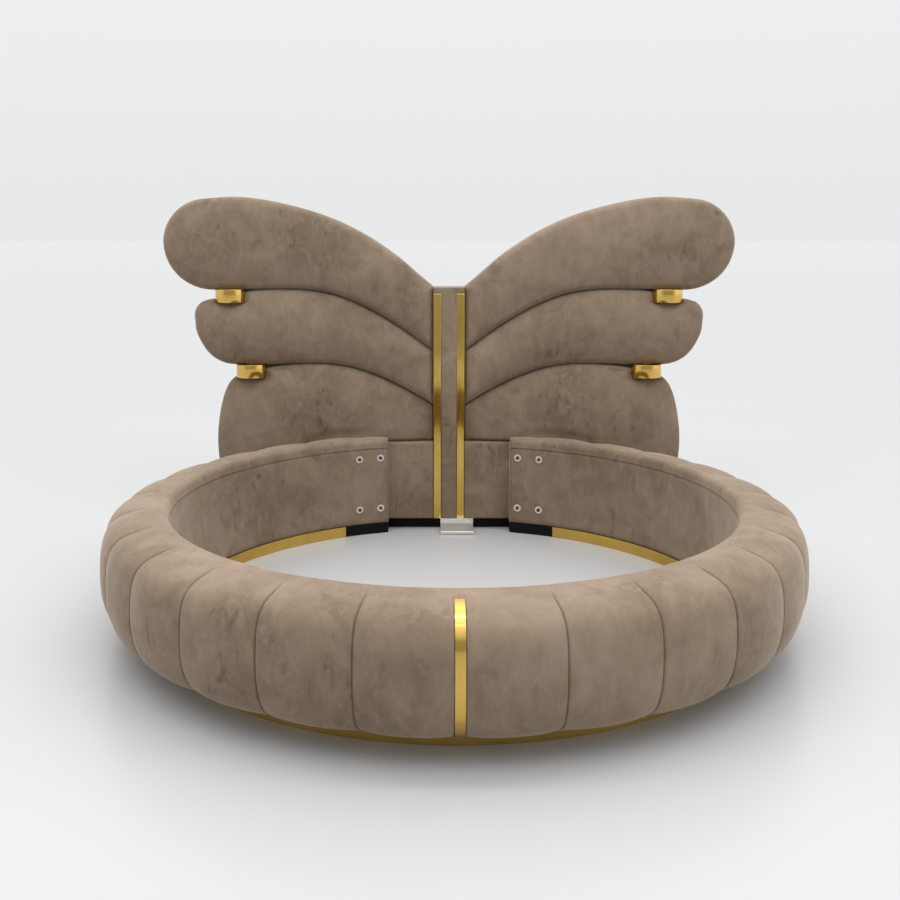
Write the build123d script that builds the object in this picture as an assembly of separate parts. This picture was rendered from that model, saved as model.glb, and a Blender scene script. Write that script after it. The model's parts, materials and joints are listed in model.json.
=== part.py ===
from build123d import *
import math
import os

# Round bed: two upholstered half rings bolted to a winged headboard. Lengths in millimetres.
# Sizes are laid out round the centre of the ring, +Y towards the headboard, +Z up.

# Driving dimensions
well_radius = 1000.0        # round mattress well
rail_width = 226.0          # from the well to the widest line of the bulge
rail_height = 432.0         # floor to the top of the rails
half_span = 1283.0          # middle of the headboard to a wing tip
headboard_height = 1511.0   # floor to the top of the wings
headboard_setback = 10.0    # well to the front plane of the headboard
headboard_depth = 128.0     # front plane to the back of the back board

# Rail upholstery
hem_height = 40.0           # lower edge of the velvet
channel_pitch = 13.2        # degrees from seam to seam
channel_count = 13          # counted to beyond the lap end, where the rest is cut off
channel_steps = 4           # straight stretches across a channel
seam_depth = 14.0           # how far a seam draws the bulge in
edge_roll = 24.0            # rounding of the inner top edge
top_seam_drop = 42.0        # top of the rail to the seam inside the well
# Skin of the rail: shares of the rail's width, and of its height above the hem
skin_shares = ((0.11, 0.995), (0.82, 0.915), (1.0, 0.585), (0.86, 0.17), (0.354, 0.0))

# Rail frame
cover_thickness = 8.0
inner_board_thickness = 18.0
outer_board_thickness = 9.0
frame_width = 110.0         # well to the outside of the outer board
base_width = 90.0           # well to the outside of the base board
base_board_thickness = 18.0
top_board_thickness = 12.0
top_padding = 20.0          # padding over the top board
former_thickness = 15.0
former_spacing = 2          # channels from former to former
former_count = 6
former_hole_radius = 24.0

# Plinths and bands under the rails
plinth_height = 47.0
plinth_width = 43.0
band_thickness = 1.2
band_seat_gap = 0.2         # bands to the plinth
band_edge_gap = 1.0         # a band's edge to the floor and to the base board
band_end = 460.0            # middle of the bed to the end of a band at the headboard

# Joints between the rails, and from the rails to the headboard
joint_gap = 0.3             # between the two rails
rail_clearance = 2.0        # rails to the crown of the lower wings
seat_gap = 0.3              # rails to the headboard's front plane
soft_gap = 0.3              # round a soft piece
lap_end = 275.0             # middle of the bed to a rail's lap end
block_gap = 2.0             # block to the boards above and below it
lap_bolt_inset = 33.0       # lap end to the first bolts
lap_bolt_outset = 38.0      # far end of the block to the second bolts
lap_bolt_height = 116.0     # floor to the lower bolts
lap_bolt_drop = 87.0        # top of the rail to the upper bolts
joint_bolt_height = 130.0
joint_bolt_drop = 97.0
bolt_radius = 4.0
bolt_hole_radius = 4.5
bolt_length = 55.0
bolt_head_radius = 8.0
bolt_head_height = 5.0
socket_radius = 3.0
socket_depth = 3.0
washer_radius = 16.0
washer_thickness = 2.0
washer_seat_gap = 0.2
insert_radius = 6.2
insert_length = 22.0
insert_depth = 1.0          # front of the block to the insert
bore_gap = 0.02             # shank to thread, and insert to block
blind_end = 3.0             # how far a blind hole runs past the bolt
nut_radius = 7.5
nut_height = 6.5

# Front brass strip
front_strip_width = 28.0
front_strip_thickness = 3.0 # on the bulge; it thins to half of that on the top

# Middle of the headboard
strip_spacing = 105.0       # between the middles of the two upright strips
strip_width = 34.0
strip_depth = 14.0
strip_foot = 51.0
strip_top = 1079.0
column_top = 1106.0
column_setback = 2.0        # strips' face to the edges of the column
column_crown = 3.0
board_foot = 50.0           # lower edge of the headboard's upholstery
spine_top = 1090.0
root_gap = 0.5              # strip to the wing roots
panel_drop = 30.0           # top of the rail to the top of the lower panels

# Wings: pads over tray-shaped frames
board_setback = 45.0        # front plane to the face of the wing frames
board_thickness = 18.0
tray_wall = 20.0
back_board_thickness = 18.0
lining_thickness = 1.5
rim = 10.0                  # upholstery round the sides of a frame
back_board_inset = 4.0
lining_inset = 10.0
web_half_width = 48.0       # board along a crease, either side of it
wing_proud = 12.0           # front plane to the crown of the wing pads
wing_roll = 12.0            # easing along the edges of a wing pad
crown_fall = 24.0           # crown to the edge, over half of a wing's width
upper_half_width = 205.0
middle_half_width = 155.0
lower_half_width = 340.0
# Outlines: shares of half the span and of the headboard's height
upper_crease_shares = ((0.176, 0.614), (0.349, 0.694), (0.567, 0.7265))
lower_crease_shares = ((0.195, 0.445), (0.351, 0.492), (0.468, 0.501))
upper_root_share = 0.733
upper_crease_root_share = 0.54
lower_crease_root_share = 0.377
upper_tip_shares = ((0.83, 0.723), (1.0, 0.868), (0.86, 0.9945))   # arcs
upper_top_shares = ((0.775, 1.0), (0.564, 0.977), (0.355, 0.916), (0.172, 0.818))
middle_tip_shares = ((0.755, 0.4985), (0.868, 0.562), (0.8965, 0.632), (0.878, 0.6835))   # arcs
middle_top_shares = ((0.852, 0.6925), (0.787, 0.7), (0.567, 0.7265))
lower_tip_shares = ((0.468, 0.501), (0.733, 0.471), (0.7857, 0.4335))   # arcs
lower_side_shares = ((0.818, 0.331), (0.823, 0.23))
lower_foot_share = 0.715
# Slopes of the outlines where they start: rise over run
upper_crease_slope = 0.75
lower_crease_slope = 0.62
upper_root_slope = 0.8
skin_foot_slope = 0.45
upper_spine_shares = ((0.054, 0.637), (0.39, 0.817), (0.842, 0.864))
middle_spine_shares = ((0.054, 0.459), (0.39, 0.6), (0.787, 0.599))
lower_crown_shares = (0.45, 0.32)
leg_inside = 705.0          # middle of the bed to the leg of the lower wing

# Brass drums between the wing tips
drum_radius = 70.0
drum_height = 60.0
drum_setback = 54.0         # front plane to the middle of a drum
upper_drum_shares = (0.768, 0.7066)
lower_drum_shares = (0.698, 0.4811)
rod_radius = 5.0
rod_grip = 30.0             # how far a rod goes into each wing frame
rod_gap = 0.1

# Headboard plinth and the bracket for a centre beam
foot_setback = 40.0         # front plane to the plinth
foot_depth = 60.0
foot_half_length = 880.0
bracket_offset = 37.0       # middle of the bed to the middle of the bracket
bracket_width = 150.0
bracket_reach = 125.0
bracket_seat = 15.0         # floor to the seat
bracket_rise = 42.0
bracket_lip = 12.0
bracket_thickness = 3.0
bracket_screw_spacing = 100.0
bracket_screw_height = 30.0
screw_radius = 2.5
screw_head_radius = 5.5
screw_head_height = 3.0
screw_length = 30.0

overrun = 5.0               # how far cutting shapes run past a face
curve_steps = 10            # stretches along a curve when it is drawn afresh

# Sizes that follow from those above
front_plane = well_radius + headboard_setback
back_plane = front_plane + headboard_depth
frame_back = back_plane - back_board_thickness
wing_face = front_plane + board_setback
reach = 2 * (well_radius + rail_width + headboard_depth)
cover_outside = well_radius + cover_thickness
inner_board_outside = cover_outside + inner_board_thickness
frame_outside = well_radius + frame_width
outer_board_inside = frame_outside - outer_board_thickness
base_outside = well_radius + base_width
base_top = plinth_height + base_board_thickness
top_board_top = rail_height - top_padding
top_board_low = top_board_top - top_board_thickness
former_middle = (inner_board_outside + outer_board_inside) / 2
strip_outside = (strip_spacing + strip_width) / 2
wing_root = strip_outside + root_gap
lower_root_height = rail_height - panel_drop
block_end = math.sqrt(outer_board_inside ** 2 - front_plane ** 2) - seat_gap
lap_bolt_places = (lap_end + lap_bolt_inset, block_end - lap_bolt_outset)
lap_bolt_heights = (lap_bolt_height, rail_height - lap_bolt_drop)
joint_bolt_heights = (joint_bolt_height, rail_height - joint_bolt_drop)


def on_ring(shape, azimuth):
    """Turn what is drawn above the X axis to an angle counted from the front of the ring."""
    return Rot(0, 0, azimuth - 90) * shape


def half_ring(inside, outside, low, high):
    """Right half of a ring of rectangular section."""
    section = Pos((inside + outside) / 2, (low + high) / 2) * Rectangle(outside - inside, high - low)
    return on_ring(revolve(Plane.XZ * section, Axis.Z, revolution_arc=180), 0)


def right_side(rear_end):
    """Space of the right rail: beside the front joint, before the headboard, up to its rear end."""
    space = Box(reach, 2 * reach, reach, align=(Align.MIN, Align.MAX, Align.CENTER))
    lap = Box(rear_end, reach, 2 * reach, align=(Align.MIN, Align.MIN, Align.CENTER))
    return Pos(joint_gap / 2, front_plane - seat_gap, 0) * space - lap


def radial(azimuth, height, inside, length, radius):
    """A round bar that points away from the middle of the ring."""
    bar = Cylinder(radius, length, align=(Align.CENTER, Align.CENTER, Align.MIN))
    return on_ring(Pos(inside, 0, height) * Rot(0, 90, 0) * bar, azimuth)


def lap_bolt_spots():
    """Angle and height of each bolt at the right rail's lap end."""
    spots = []
    for place in lap_bolt_places:
        azimuth = 180 - math.degrees(math.asin(place / well_radius))
        for height in lap_bolt_heights:
            spots.append((azimuth, height))
    return spots


def lap_holes(radius):
    """Bolt holes through everything at the right rail's lap end."""
    return [radial(a, z, well_radius - overrun, bolt_length, radius) for a, z in lap_bolt_spots()]


def rail_section(drawn_in):
    """Closed section of the rail's upholstery, drawn in by a seam or full between two seams."""
    width = rail_width - drawn_in
    height = rail_height - drawn_in / 2
    points = []
    for across, up in skin_shares:
        points.append((well_radius + across * width, hem_height + up * (height - hem_height)))
    edge = (well_radius, height - edge_roll)
    foot = (well_radius, hem_height)
    roll = TangentArc(edge, points[0], tangent=(0, 1))
    skin = Spline(points, tangents=[(1, 0), (-1, -skin_foot_slope)])
    return make_face([Line(foot, edge), roll, skin, Line(points[-1], foot)])


def channel(index):
    """One sewn channel: full in the middle, drawn in at its two seams."""
    sections = []
    for step in range(channel_steps + 1):
        across = step / channel_steps
        drawn_in = seam_depth * (2 * across - 1) ** 2
        azimuth = (index + across) * channel_pitch
        sections.append(on_ring(Plane.XZ * rail_section(drawn_in), azimuth))
    return loft(sections, ruled=True)


def strip_slot():
    """Where the front strip lies in the upholstery: outside the section of the joint's seam."""
    half_width = front_strip_width / 2 + soft_gap
    core = extrude(on_ring(Plane.XZ * rail_section(seam_depth), 0), half_width + overrun, both=True)
    bar = Pos(0, -reach / 2, 0) * Box(2 * half_width, reach, reach)
    return bar - core


def rail_pad():
    """Channelled upholstery of the right rail, hollow where the frame stands."""
    skin = channel(0)
    for index in range(1, channel_count):
        skin = skin + channel(index)
    foot = half_ring(cover_outside, base_outside + soft_gap, plinth_height, base_top)
    frame = half_ring(cover_outside, frame_outside + soft_gap, base_top - soft_gap, top_board_top + soft_gap)
    well = half_ring(well_radius - overrun, cover_outside, -overrun, rail_height - top_seam_drop)
    hem = well_radius + skin_shares[-1][0] * rail_width
    under = half_ring(well_radius - overrun, hem, -overrun, plinth_height)
    return (skin - foot - frame - well - under - strip_slot()) & right_side(lap_end)


def inner_cover():
    """Thin velvet and foam on the wall of the well, from the base board to the seam."""
    cover = half_ring(well_radius, cover_outside, plinth_height, rail_height - top_seam_drop - soft_gap)
    return cover & right_side(lap_end) - lap_holes(bolt_hole_radius)


def inner_board():
    """Bent plywood wall of the well, which laps over the corner block of the headboard."""
    board = half_ring(cover_outside, inner_board_outside, base_top, top_board_low)
    return board & right_side(lap_end) - lap_holes(bolt_hole_radius)


def outer_board():
    """Thin bent board that carries the padding of the bulge."""
    return half_ring(outer_board_inside, frame_outside, base_top, top_board_low) & right_side(lap_end)


def base_board():
    """Curved board that lies on the plinth."""
    return half_ring(cover_outside, base_outside, plinth_height, base_top) & right_side(lap_end)


def top_board():
    """Curved board on the two walls."""
    return half_ring(cover_outside, frame_outside, top_board_low, top_board_top) & right_side(lap_end)


def formers():
    """Upright plates between the two walls, the first of them at the front joint."""
    space = half_ring(inner_board_outside, outer_board_inside, base_top, top_board_low)
    middle = (base_top + top_board_low) / 2
    hole = Rot(90, 0, 0) * Cylinder(former_hole_radius, 2 * former_thickness)
    blank = Box(frame_width, former_thickness, top_board_top) - hole
    plates = []
    for index in range(former_count):
        first = (joint_gap + former_thickness) / 2 if index == 0 else 0
        plate = on_ring(Pos(former_middle, first, middle) * blank, index * former_spacing * channel_pitch)
        plates.append(space & plate)
    length = former_thickness + 2 * overrun
    plates[0] = plates[0] - [joint_bar(-overrun, z, length, bolt_hole_radius) for z in joint_bolt_heights]
    return plates


def joint_bar(start, height, length, radius):
    """A round bar across the front joint."""
    bar = Cylinder(radius, length, align=(Align.CENTER, Align.CENTER, Align.MIN))
    return Pos(start, -former_middle, height) * Rot(0, 90, 0) * bar


def joint_bolts():
    """Bolts and nuts that clamp the two front formers together."""
    face = former_thickness + joint_gap / 2
    grip = 2 * face
    pieces = []
    for height in joint_bolt_heights:
        head = joint_bar(-face - bolt_head_height, height, bolt_head_height, bolt_head_radius)
        shank = joint_bar(-face, height, grip + 2 * nut_height, bolt_radius)
        hexagon = extrude(RegularPolygon(nut_radius, 6), nut_height)
        nut = Pos(face, -former_middle, height) * Rot(0, 90, 0) * hexagon
        bore = joint_bar(0, height, grip + 2 * nut_height, bolt_radius + bore_gap)
        pieces += [head + shank, nut - bore]
    return pieces


def corner_block():
    """Block on the headboard that the right rail laps over, bored for its inserts."""
    low = base_top + block_gap
    high = top_board_low - block_gap
    size = (block_end - lap_end, front_plane, high - low)
    blank = Pos(lap_end, 0, low) * Box(*size, align=(Align.MIN, Align.MIN, Align.MIN))
    block = blank - Cylinder(inner_board_outside + soft_gap, reach)
    depth = inner_board_outside - well_radius
    bores = [radial(a, z, well_radius + depth - overrun, bolt_length - depth + overrun + blind_end,
                    insert_radius + bore_gap) for a, z in lap_bolt_spots()]
    return block - bores


def lap_bolts():
    """Socket-head bolts of the right lap end."""
    seat = well_radius - washer_seat_gap - washer_thickness
    bolts = []
    for azimuth, height in lap_bolt_spots():
        head = radial(azimuth, height, seat - bolt_head_height, bolt_head_height, bolt_head_radius)
        shank = radial(azimuth, height, seat, bolt_length, bolt_radius)
        hexagon = extrude(RegularPolygon(socket_radius, 6), socket_depth)
        socket = on_ring(Pos(seat - bolt_head_height, 0, height) * Rot(0, 90, 0) * hexagon, azimuth)
        bolts.append(head + shank - socket)
    return bolts


def lap_washers():
    """Broad washers under the bolt heads."""
    inside = well_radius - washer_seat_gap - washer_thickness
    washers = []
    for azimuth, height in lap_bolt_spots():
        disc = radial(azimuth, height, inside, washer_thickness, washer_radius)
        washers.append(disc - radial(azimuth, height, inside - overrun, 2 * overrun, bolt_hole_radius))
    return washers


def lap_inserts():
    """Threaded inserts in the corner block."""
    start = inner_board_outside + soft_gap + insert_depth
    inserts = []
    for azimuth, height in lap_bolt_spots():
        sleeve = radial(azimuth, height, start, insert_length, insert_radius)
        inserts.append(sleeve - radial(azimuth, height, start - overrun, reach, bolt_radius + bore_gap))
    return inserts


def rail_plinth():
    """Curved base under the right rail."""
    inside = well_radius + band_thickness + band_seat_gap
    return half_ring(inside, inside + plinth_width, 0, plinth_height) & right_side(lap_end)


def base_band(inside):
    """Thin brass band on one face of the plinth."""
    high = plinth_height - band_edge_gap
    return half_ring(inside, inside + band_thickness, band_edge_gap, high) & right_side(band_end)


def front_strip():
    """Brass strip over the front joint, bent to the section of the seam it covers."""
    band = rail_section(seam_depth - front_strip_thickness) - rail_section(seam_depth)
    hem = well_radius + skin_shares[-1][0] * (rail_width - seam_depth)
    low = rail_height - seam_depth / 2 - edge_roll / 2
    waste = Pos(hem, low) * Rectangle(reach, reach, align=(Align.MAX, Align.MAX))
    section = band - waste
    return extrude(on_ring(Plane.XZ * section, 0), front_strip_width / 2, both=True)


def wing_point(shares):
    """A point of the right wing from its shares."""
    return (shares[0] * half_span, shares[1] * headboard_height)


def root_point(share):
    """A point of the right wings' root beside the brass strip."""
    return (wing_root, share * headboard_height)


def tangent_arcs(shares):
    """A chain of arcs through points of a wing, which starts level and runs outwards."""
    start = wing_point(shares[0])
    direction = (1, 0)
    arcs = []
    for share in shares[1:]:
        arcs.append(TangentArc(start, wing_point(share), tangent=direction))
        start = wing_point(share)
        direction = arcs[-1] % 1
    return arcs


def upper_outline():
    """Upper right wing: a long lobe with a round tip."""
    low_root = root_point(upper_crease_root_share)
    high_root = root_point(upper_root_share)
    crease = [low_root] + [wing_point(p) for p in upper_crease_shares]
    tip = tangent_arcs(upper_tip_shares)
    top = [tip[-1] @ 1] + [wing_point(p) for p in upper_top_shares] + [high_root]
    return make_face(tip + [
        Spline(crease, tangents=[(1, upper_crease_slope), (1, 0)]),
        Line(crease[-1], tip[0] @ 0),
        Spline(top, tangents=[tip[-1] % 1, (-1, -upper_root_slope)]),
        Line(high_root, low_root),
    ])


def middle_outline():
    """Middle right wing, which fills the space under the upper one."""
    low_root = root_point(lower_crease_root_share)
    high_root = root_point(upper_crease_root_share)
    top = [high_root] + [wing_point(p) for p in upper_crease_shares]
    low = [low_root] + [wing_point(p) for p in lower_crease_shares]
    tip = tangent_arcs(middle_tip_shares)
    over = [tip[-1] @ 1] + [wing_point(p) for p in middle_top_shares]
    return make_face(tip + [
        Spline(top, tangents=[(1, upper_crease_slope), (1, 0)]),
        Spline(over, tangents=[tip[-1] % 1, (-1, 0)]),
        Line(low[-1], tip[0] @ 0),
        Spline(low, tangents=[(1, lower_crease_slope), (1, 0)]),
        Line(high_root, low_root),
    ])


def lower_outline():
    """Lower right wing, with a leg beside the rail that goes down to the hem."""
    high_root = root_point(lower_crease_root_share)
    top = [high_root] + [wing_point(p) for p in lower_crease_shares]
    tip = tangent_arcs(lower_tip_shares)
    foot = (lower_foot_share * half_span, board_foot)
    side = [tip[-1] @ 1] + [wing_point(p) for p in lower_side_shares] + [foot]
    corner = (leg_inside, lower_root_height)
    root = (wing_root, lower_root_height)
    return make_face(tip + [
        Spline(top, tangents=[(1, lower_crease_slope), (1, 0)]),
        Spline(side, tangents=[tip[-1] % 1, (-1, -1)]),
        Line(foot, (leg_inside, board_foot)),
        Line((leg_inside, board_foot), corner),
        Line(corner, root),
        Line(root, high_root),
    ])


def panel_outline():
    """Right lower panel, which the rail butts against."""
    size = (leg_inside - wing_root, lower_root_height - board_foot)
    return Pos(wing_root, board_foot) * Rectangle(*size, align=(Align.MIN, Align.MIN))


def inset(outline, distance):
    """An outline drawn in all round, with its curves drawn afresh."""
    edges = []
    for edge in offset(outline, -distance, kind=Kind.ARC).edges():
        if edge.geom_type in (GeomType.LINE, GeomType.CIRCLE):
            edges.append(edge)
        else:
            points = [edge @ (step / curve_steps) for step in range(curve_steps + 1)]
            edges.append(Spline(points, tangents=[edge % 0, edge % 1]))
    return make_face(edges)


def slab(outline, back, depth):
    """An outline drawn from the front of the bed, thickened forwards from a plane behind it."""
    return extrude(Plane.XZ.offset(-back) * outline, depth)


def circle_through(shares):
    """Middle and radius of the circle through three points of a wing."""
    (ax, az), (bx, bz), (cx, cz) = [wing_point(p) for p in shares]
    twice = 2 * (ax * (bz - cz) + bx * (cz - az) + cx * (az - bz))
    a, b, c = ax * ax + az * az, bx * bx + bz * bz, cx * cx + cz * cz
    x = (a * (bz - cz) + b * (cz - az) + c * (az - bz)) / twice
    z = (a * (cx - bx) + b * (ax - cx) + c * (bx - ax)) / twice
    return x, z, math.hypot(ax - x, az - z)


def wing_crown(shares, half_width):
    """Round body whose front is the crown of a wing that bends along a spine."""
    x, z, spine_radius = circle_through(shares)
    crown_radius = (half_width ** 2 + crown_fall ** 2) / (2 * crown_fall)
    centre = front_plane - wing_proud + crown_radius
    return Pos(x, centre, z) * Rot(90, 0, 0) * Torus(spine_radius, crown_radius)


def lower_crown():
    """Ball whose front is the crown of the lower wing."""
    x, z = wing_point(lower_crown_shares)
    crown_radius = (lower_half_width ** 2 + crown_fall ** 2) / (2 * crown_fall)
    return Pos(x, front_plane - wing_proud + crown_radius, z) * Sphere(crown_radius)


def wing_pad(outline, crown, drums):
    """Padding of one wing: crowned, eased at the edge, hollow over its frame and let in for drums."""
    depth = frame_back - front_plane + wing_proud + overrun
    blank = slab(inset(outline, soft_gap), frame_back, depth) & crown
    crowned_face = blank.faces().sort_by(Axis.Y)[0]
    body = chamfer(crowned_face.edges(), wing_roll)
    tray = slab(inset(outline, rim), frame_back + overrun, frame_back - wing_face + overrun)
    return body - tray - drums


def wing_frame(outline, drums):
    """Wooden tray of one wing: a face board with battens behind its edge."""
    edge = inset(outline, rim + soft_gap)
    hollow = inset(outline, rim + soft_gap + tray_wall)
    back_of_board = frame_back - wing_face - board_thickness
    return slab(edge, frame_back, frame_back - wing_face) - slab(hollow, frame_back, back_of_board) - drums


def drum(shares):
    """Brass drum between two wing tips, bored for its rod."""
    x, z = wing_point(shares)
    body = Cylinder(drum_radius, drum_height) - Cylinder(rod_radius + rod_gap, 2 * drum_height)
    return Pos(x, front_plane + drum_setback, z) * body


def drum_room(shares):
    """Room that the wings leave for a drum and its rod."""
    x, z = wing_point(shares)
    room = Cylinder(drum_radius + soft_gap, drum_height + 2 * soft_gap)
    bore = Cylinder(rod_radius + rod_gap, drum_height + 2 * rod_grip + 2 * rod_gap)
    return Pos(x, front_plane + drum_setback, z) * (room + bore)


def drum_rod(shares):
    """Rod through a drum into the frames above and below."""
    x, z = wing_point(shares)
    return Pos(x, front_plane + drum_setback, z) * Cylinder(rod_radius, drum_height + 2 * rod_grip)


def rail_room():
    """Room in front of the headboard that the right rail takes."""
    ring_edge = math.sqrt((well_radius + rail_width) ** 2 - (front_plane - wing_proud) ** 2)
    size = (ring_edge + rail_clearance, 2 * wing_proud, rail_height + rail_clearance)
    return Pos(0, front_plane, 0) * Box(*size, align=(Align.MIN, Align.MAX, Align.MIN))


def panel_pad():
    """Flat padding of the right lower panel, wrapped over its frame."""
    outline = panel_outline()
    blank = slab(inset(outline, soft_gap), frame_back, frame_back - front_plane)
    face = front_plane + strip_depth
    return blank - slab(inset(outline, rim), frame_back + overrun, frame_back + overrun - face)


def panel_frame():
    """Wooden tray under the right lower panel."""
    edge = inset(panel_outline(), rim + soft_gap)
    hollow = inset(panel_outline(), rim + soft_gap + tray_wall)
    depth = frame_back - front_plane - strip_depth - soft_gap
    return slab(edge, frame_back, depth) - slab(hollow, frame_back, depth - board_thickness)


def spine():
    """Upright post behind the strips and the column."""
    size = (2 * strip_outside, frame_back - front_plane - strip_depth, spine_top - board_foot)
    return Pos(0, frame_back, board_foot) * Box(*size, align=(Align.CENTER, Align.MAX, Align.MIN))


def column_pad():
    """Narrow padded column between the strips, which spreads over them and over the spine."""
    half = (strip_spacing - strip_width) / 2 - soft_gap
    back = strip_depth - column_setback
    arch = ThreePointArc((-half, -back), (0, -back - column_crown), (half, -back))
    section = make_face([arch, Polyline((half, -back), (half, 0), (-half, 0), (-half, -back))])
    face = front_plane + strip_depth
    column = Pos(0, face, board_foot) * extrude(section, column_top - board_foot)
    brow_low = strip_top + soft_gap
    brow_size = (2 * strip_outside, back, column_top - brow_low)
    brow = Pos(0, face, brow_low) * Box(*brow_size, align=(Align.CENTER, Align.MAX, Align.MIN))
    cap_low = spine_top + soft_gap
    cap_size = (2 * strip_outside, frame_back - face, column_top - cap_low)
    cap = Pos(0, face, cap_low) * Box(*cap_size, align=(Align.CENTER, Align.MIN, Align.MIN))
    return column + brow + cap


def upright_strip():
    """Right brass strip on the spine."""
    size = (strip_width, strip_depth, strip_top - strip_foot)
    place = Pos(strip_spacing / 2, front_plane + strip_depth, strip_foot)
    return place * Box(*size, align=(Align.CENTER, Align.MAX, Align.MIN))


def crease_web(root_share, crease_shares, drum_shares):
    """Band of board along the crease of two right wings, out to the middle of their drum."""
    points = [root_point(root_share)] + [wing_point(p) for p in crease_shares]
    points.append((wing_point(drum_shares)[0], points[-1][1]))
    above = [(x, z + web_half_width) for x, z in points]
    below = [(x, z - web_half_width) for x, z in reversed(points)]
    return make_face(Polyline(above + below, close=True))


def headboard_outline(distance):
    """Outline of the whole headboard, drawn in from the upholstery."""
    right = inset(lower_outline() + panel_outline(), distance)
    right += inset(middle_outline(), distance)
    right += inset(upper_outline(), distance)
    right += crease_web(upper_crease_root_share, upper_crease_shares, upper_drum_shares)
    right += crease_web(lower_crease_root_share, lower_crease_shares, lower_drum_shares)
    low = board_foot + distance
    size = (2 * (wing_root + lining_inset), column_top - distance - low)
    middle = Pos(0, low) * Rectangle(*size, align=(Align.CENTER, Align.MIN))
    return right + middle + mirror(right, Plane.YZ)


def back_board():
    """One board behind the wings, which ties the trays and the spine together."""
    rooms = [drum_room(upper_drum_shares), drum_room(lower_drum_shares)]
    rooms += [mirror(room, Plane.YZ) for room in rooms]
    return slab(headboard_outline(back_board_inset), back_plane, back_board_thickness) - rooms


def back_lining():
    """Cloth over the back of the headboard."""
    return slab(headboard_outline(lining_inset), back_plane + lining_thickness, lining_thickness)


def headboard_plinth():
    """Black base under the headboard, set back from its face."""
    size = (2 * foot_half_length, foot_depth, board_foot)
    block = Box(*size, align=(Align.CENTER, Align.MIN, Align.MIN))
    return Pos(0, front_plane + foot_setback, 0) * block - bracket_screws(screw_radius + bore_gap)


def bracket():
    """Bent steel bracket: a flange up the plinth, a seat and a lip at its front."""
    t = bracket_thickness
    back = 0
    front = -bracket_reach
    points = [
        (back, bracket_rise), (back, bracket_seat - t), (front + t, bracket_seat - t),
        (front + t, bracket_seat - bracket_lip), (front, bracket_seat - bracket_lip),
        (front, bracket_seat), (back - t, bracket_seat), (back - t, bracket_rise),
    ]
    profile = make_face(Polyline(points, close=True))
    plate = extrude(Plane.YZ * profile, bracket_width / 2, both=True)
    bend = plate.edges().filter_by(Axis.X).group_by(Axis.Y)[0].sort_by(Axis.Z)[-1]
    place = Pos(bracket_offset, front_plane + foot_setback, 0)
    return place * fillet(bend, t) - bracket_screws(screw_radius + bore_gap)


def bracket_screws(radius):
    """Shanks of the bracket's two screws."""
    bars = []
    for side in (-1, 1):
        x = bracket_offset + side * bracket_screw_spacing / 2
        bar = Rot(-90, 0, 0) * Cylinder(radius, screw_length, align=(Align.CENTER, Align.CENTER, Align.MIN))
        bars.append(Pos(x, front_plane + foot_setback - bracket_thickness, bracket_screw_height) * bar)
    return bars


def screws():
    """Screws that hold the bracket to the plinth."""
    made = []
    disc = Cylinder(screw_head_radius, screw_head_height, align=(Align.CENTER, Align.CENTER, Align.MIN))
    for bar in bracket_screws(screw_radius):
        box = bar.bounding_box()
        head = Pos(box.center().X, box.min.Y, box.center().Z) * Rot(90, 0, 0) * disc
        made.append(bar + head)
    return made


def both_sides(name, shape):
    """A piece and its mirror image, under the names of their sides."""
    return {"right_" + name: shape, "left_" + name: mirror(shape, Plane.YZ)}


def group(pieces):
    """Separate solids kept under one name."""
    return Compound([solid for piece in pieces for solid in piece.solids()])


def rails():
    """All nodes of the two rails."""
    inner_face = well_radius
    outer_face = inner_face + band_thickness + plinth_width + 2 * band_seat_gap
    nodes = {"front_strip": front_strip(), "front_joint_bolts": group(joint_bolts())}
    nodes |= both_sides("rail_pad", rail_pad())
    nodes |= both_sides("rail_inner_cover", inner_cover())
    nodes |= both_sides("rail_inner_board", inner_board())
    nodes |= both_sides("rail_outer_board", outer_board())
    nodes |= both_sides("rail_base_board", base_board())
    nodes |= both_sides("rail_top_board", top_board())
    nodes |= both_sides("rail_formers", group(formers()))
    nodes |= both_sides("rail_plinth", rail_plinth())
    nodes |= both_sides("inner_base_band", base_band(inner_face))
    nodes |= both_sides("outer_base_band", base_band(outer_face))
    return nodes


def wings():
    """All nodes of the six wings and the drums between them."""
    upper_room = drum_room(upper_drum_shares)
    lower_room = drum_room(lower_drum_shares)
    upper, middle, lower = upper_outline(), middle_outline(), lower_outline()
    upper_crown = wing_crown(upper_spine_shares, upper_half_width)
    middle_crown = wing_crown(middle_spine_shares, middle_half_width)
    nodes = {}
    nodes |= both_sides("upper_wing_pad", wing_pad(upper, upper_crown, [upper_room]))
    nodes |= both_sides("middle_wing_pad", wing_pad(middle, middle_crown, [upper_room, lower_room]))
    nodes |= both_sides("lower_wing_pad", wing_pad(lower, lower_crown(), [lower_room, rail_room()]))
    nodes |= both_sides("upper_wing_frame", wing_frame(upper, [upper_room]))
    nodes |= both_sides("middle_wing_frame", wing_frame(middle, [upper_room, lower_room]))
    nodes |= both_sides("lower_wing_frame", wing_frame(lower, [lower_room]))
    nodes |= both_sides("upper_drum", drum(upper_drum_shares))
    nodes |= both_sides("lower_drum", drum(lower_drum_shares))
    rods = [drum_rod(upper_drum_shares), drum_rod(lower_drum_shares)]
    nodes["drum_rods"] = group(rods + [mirror(rod, Plane.YZ) for rod in rods])
    return nodes


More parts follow.
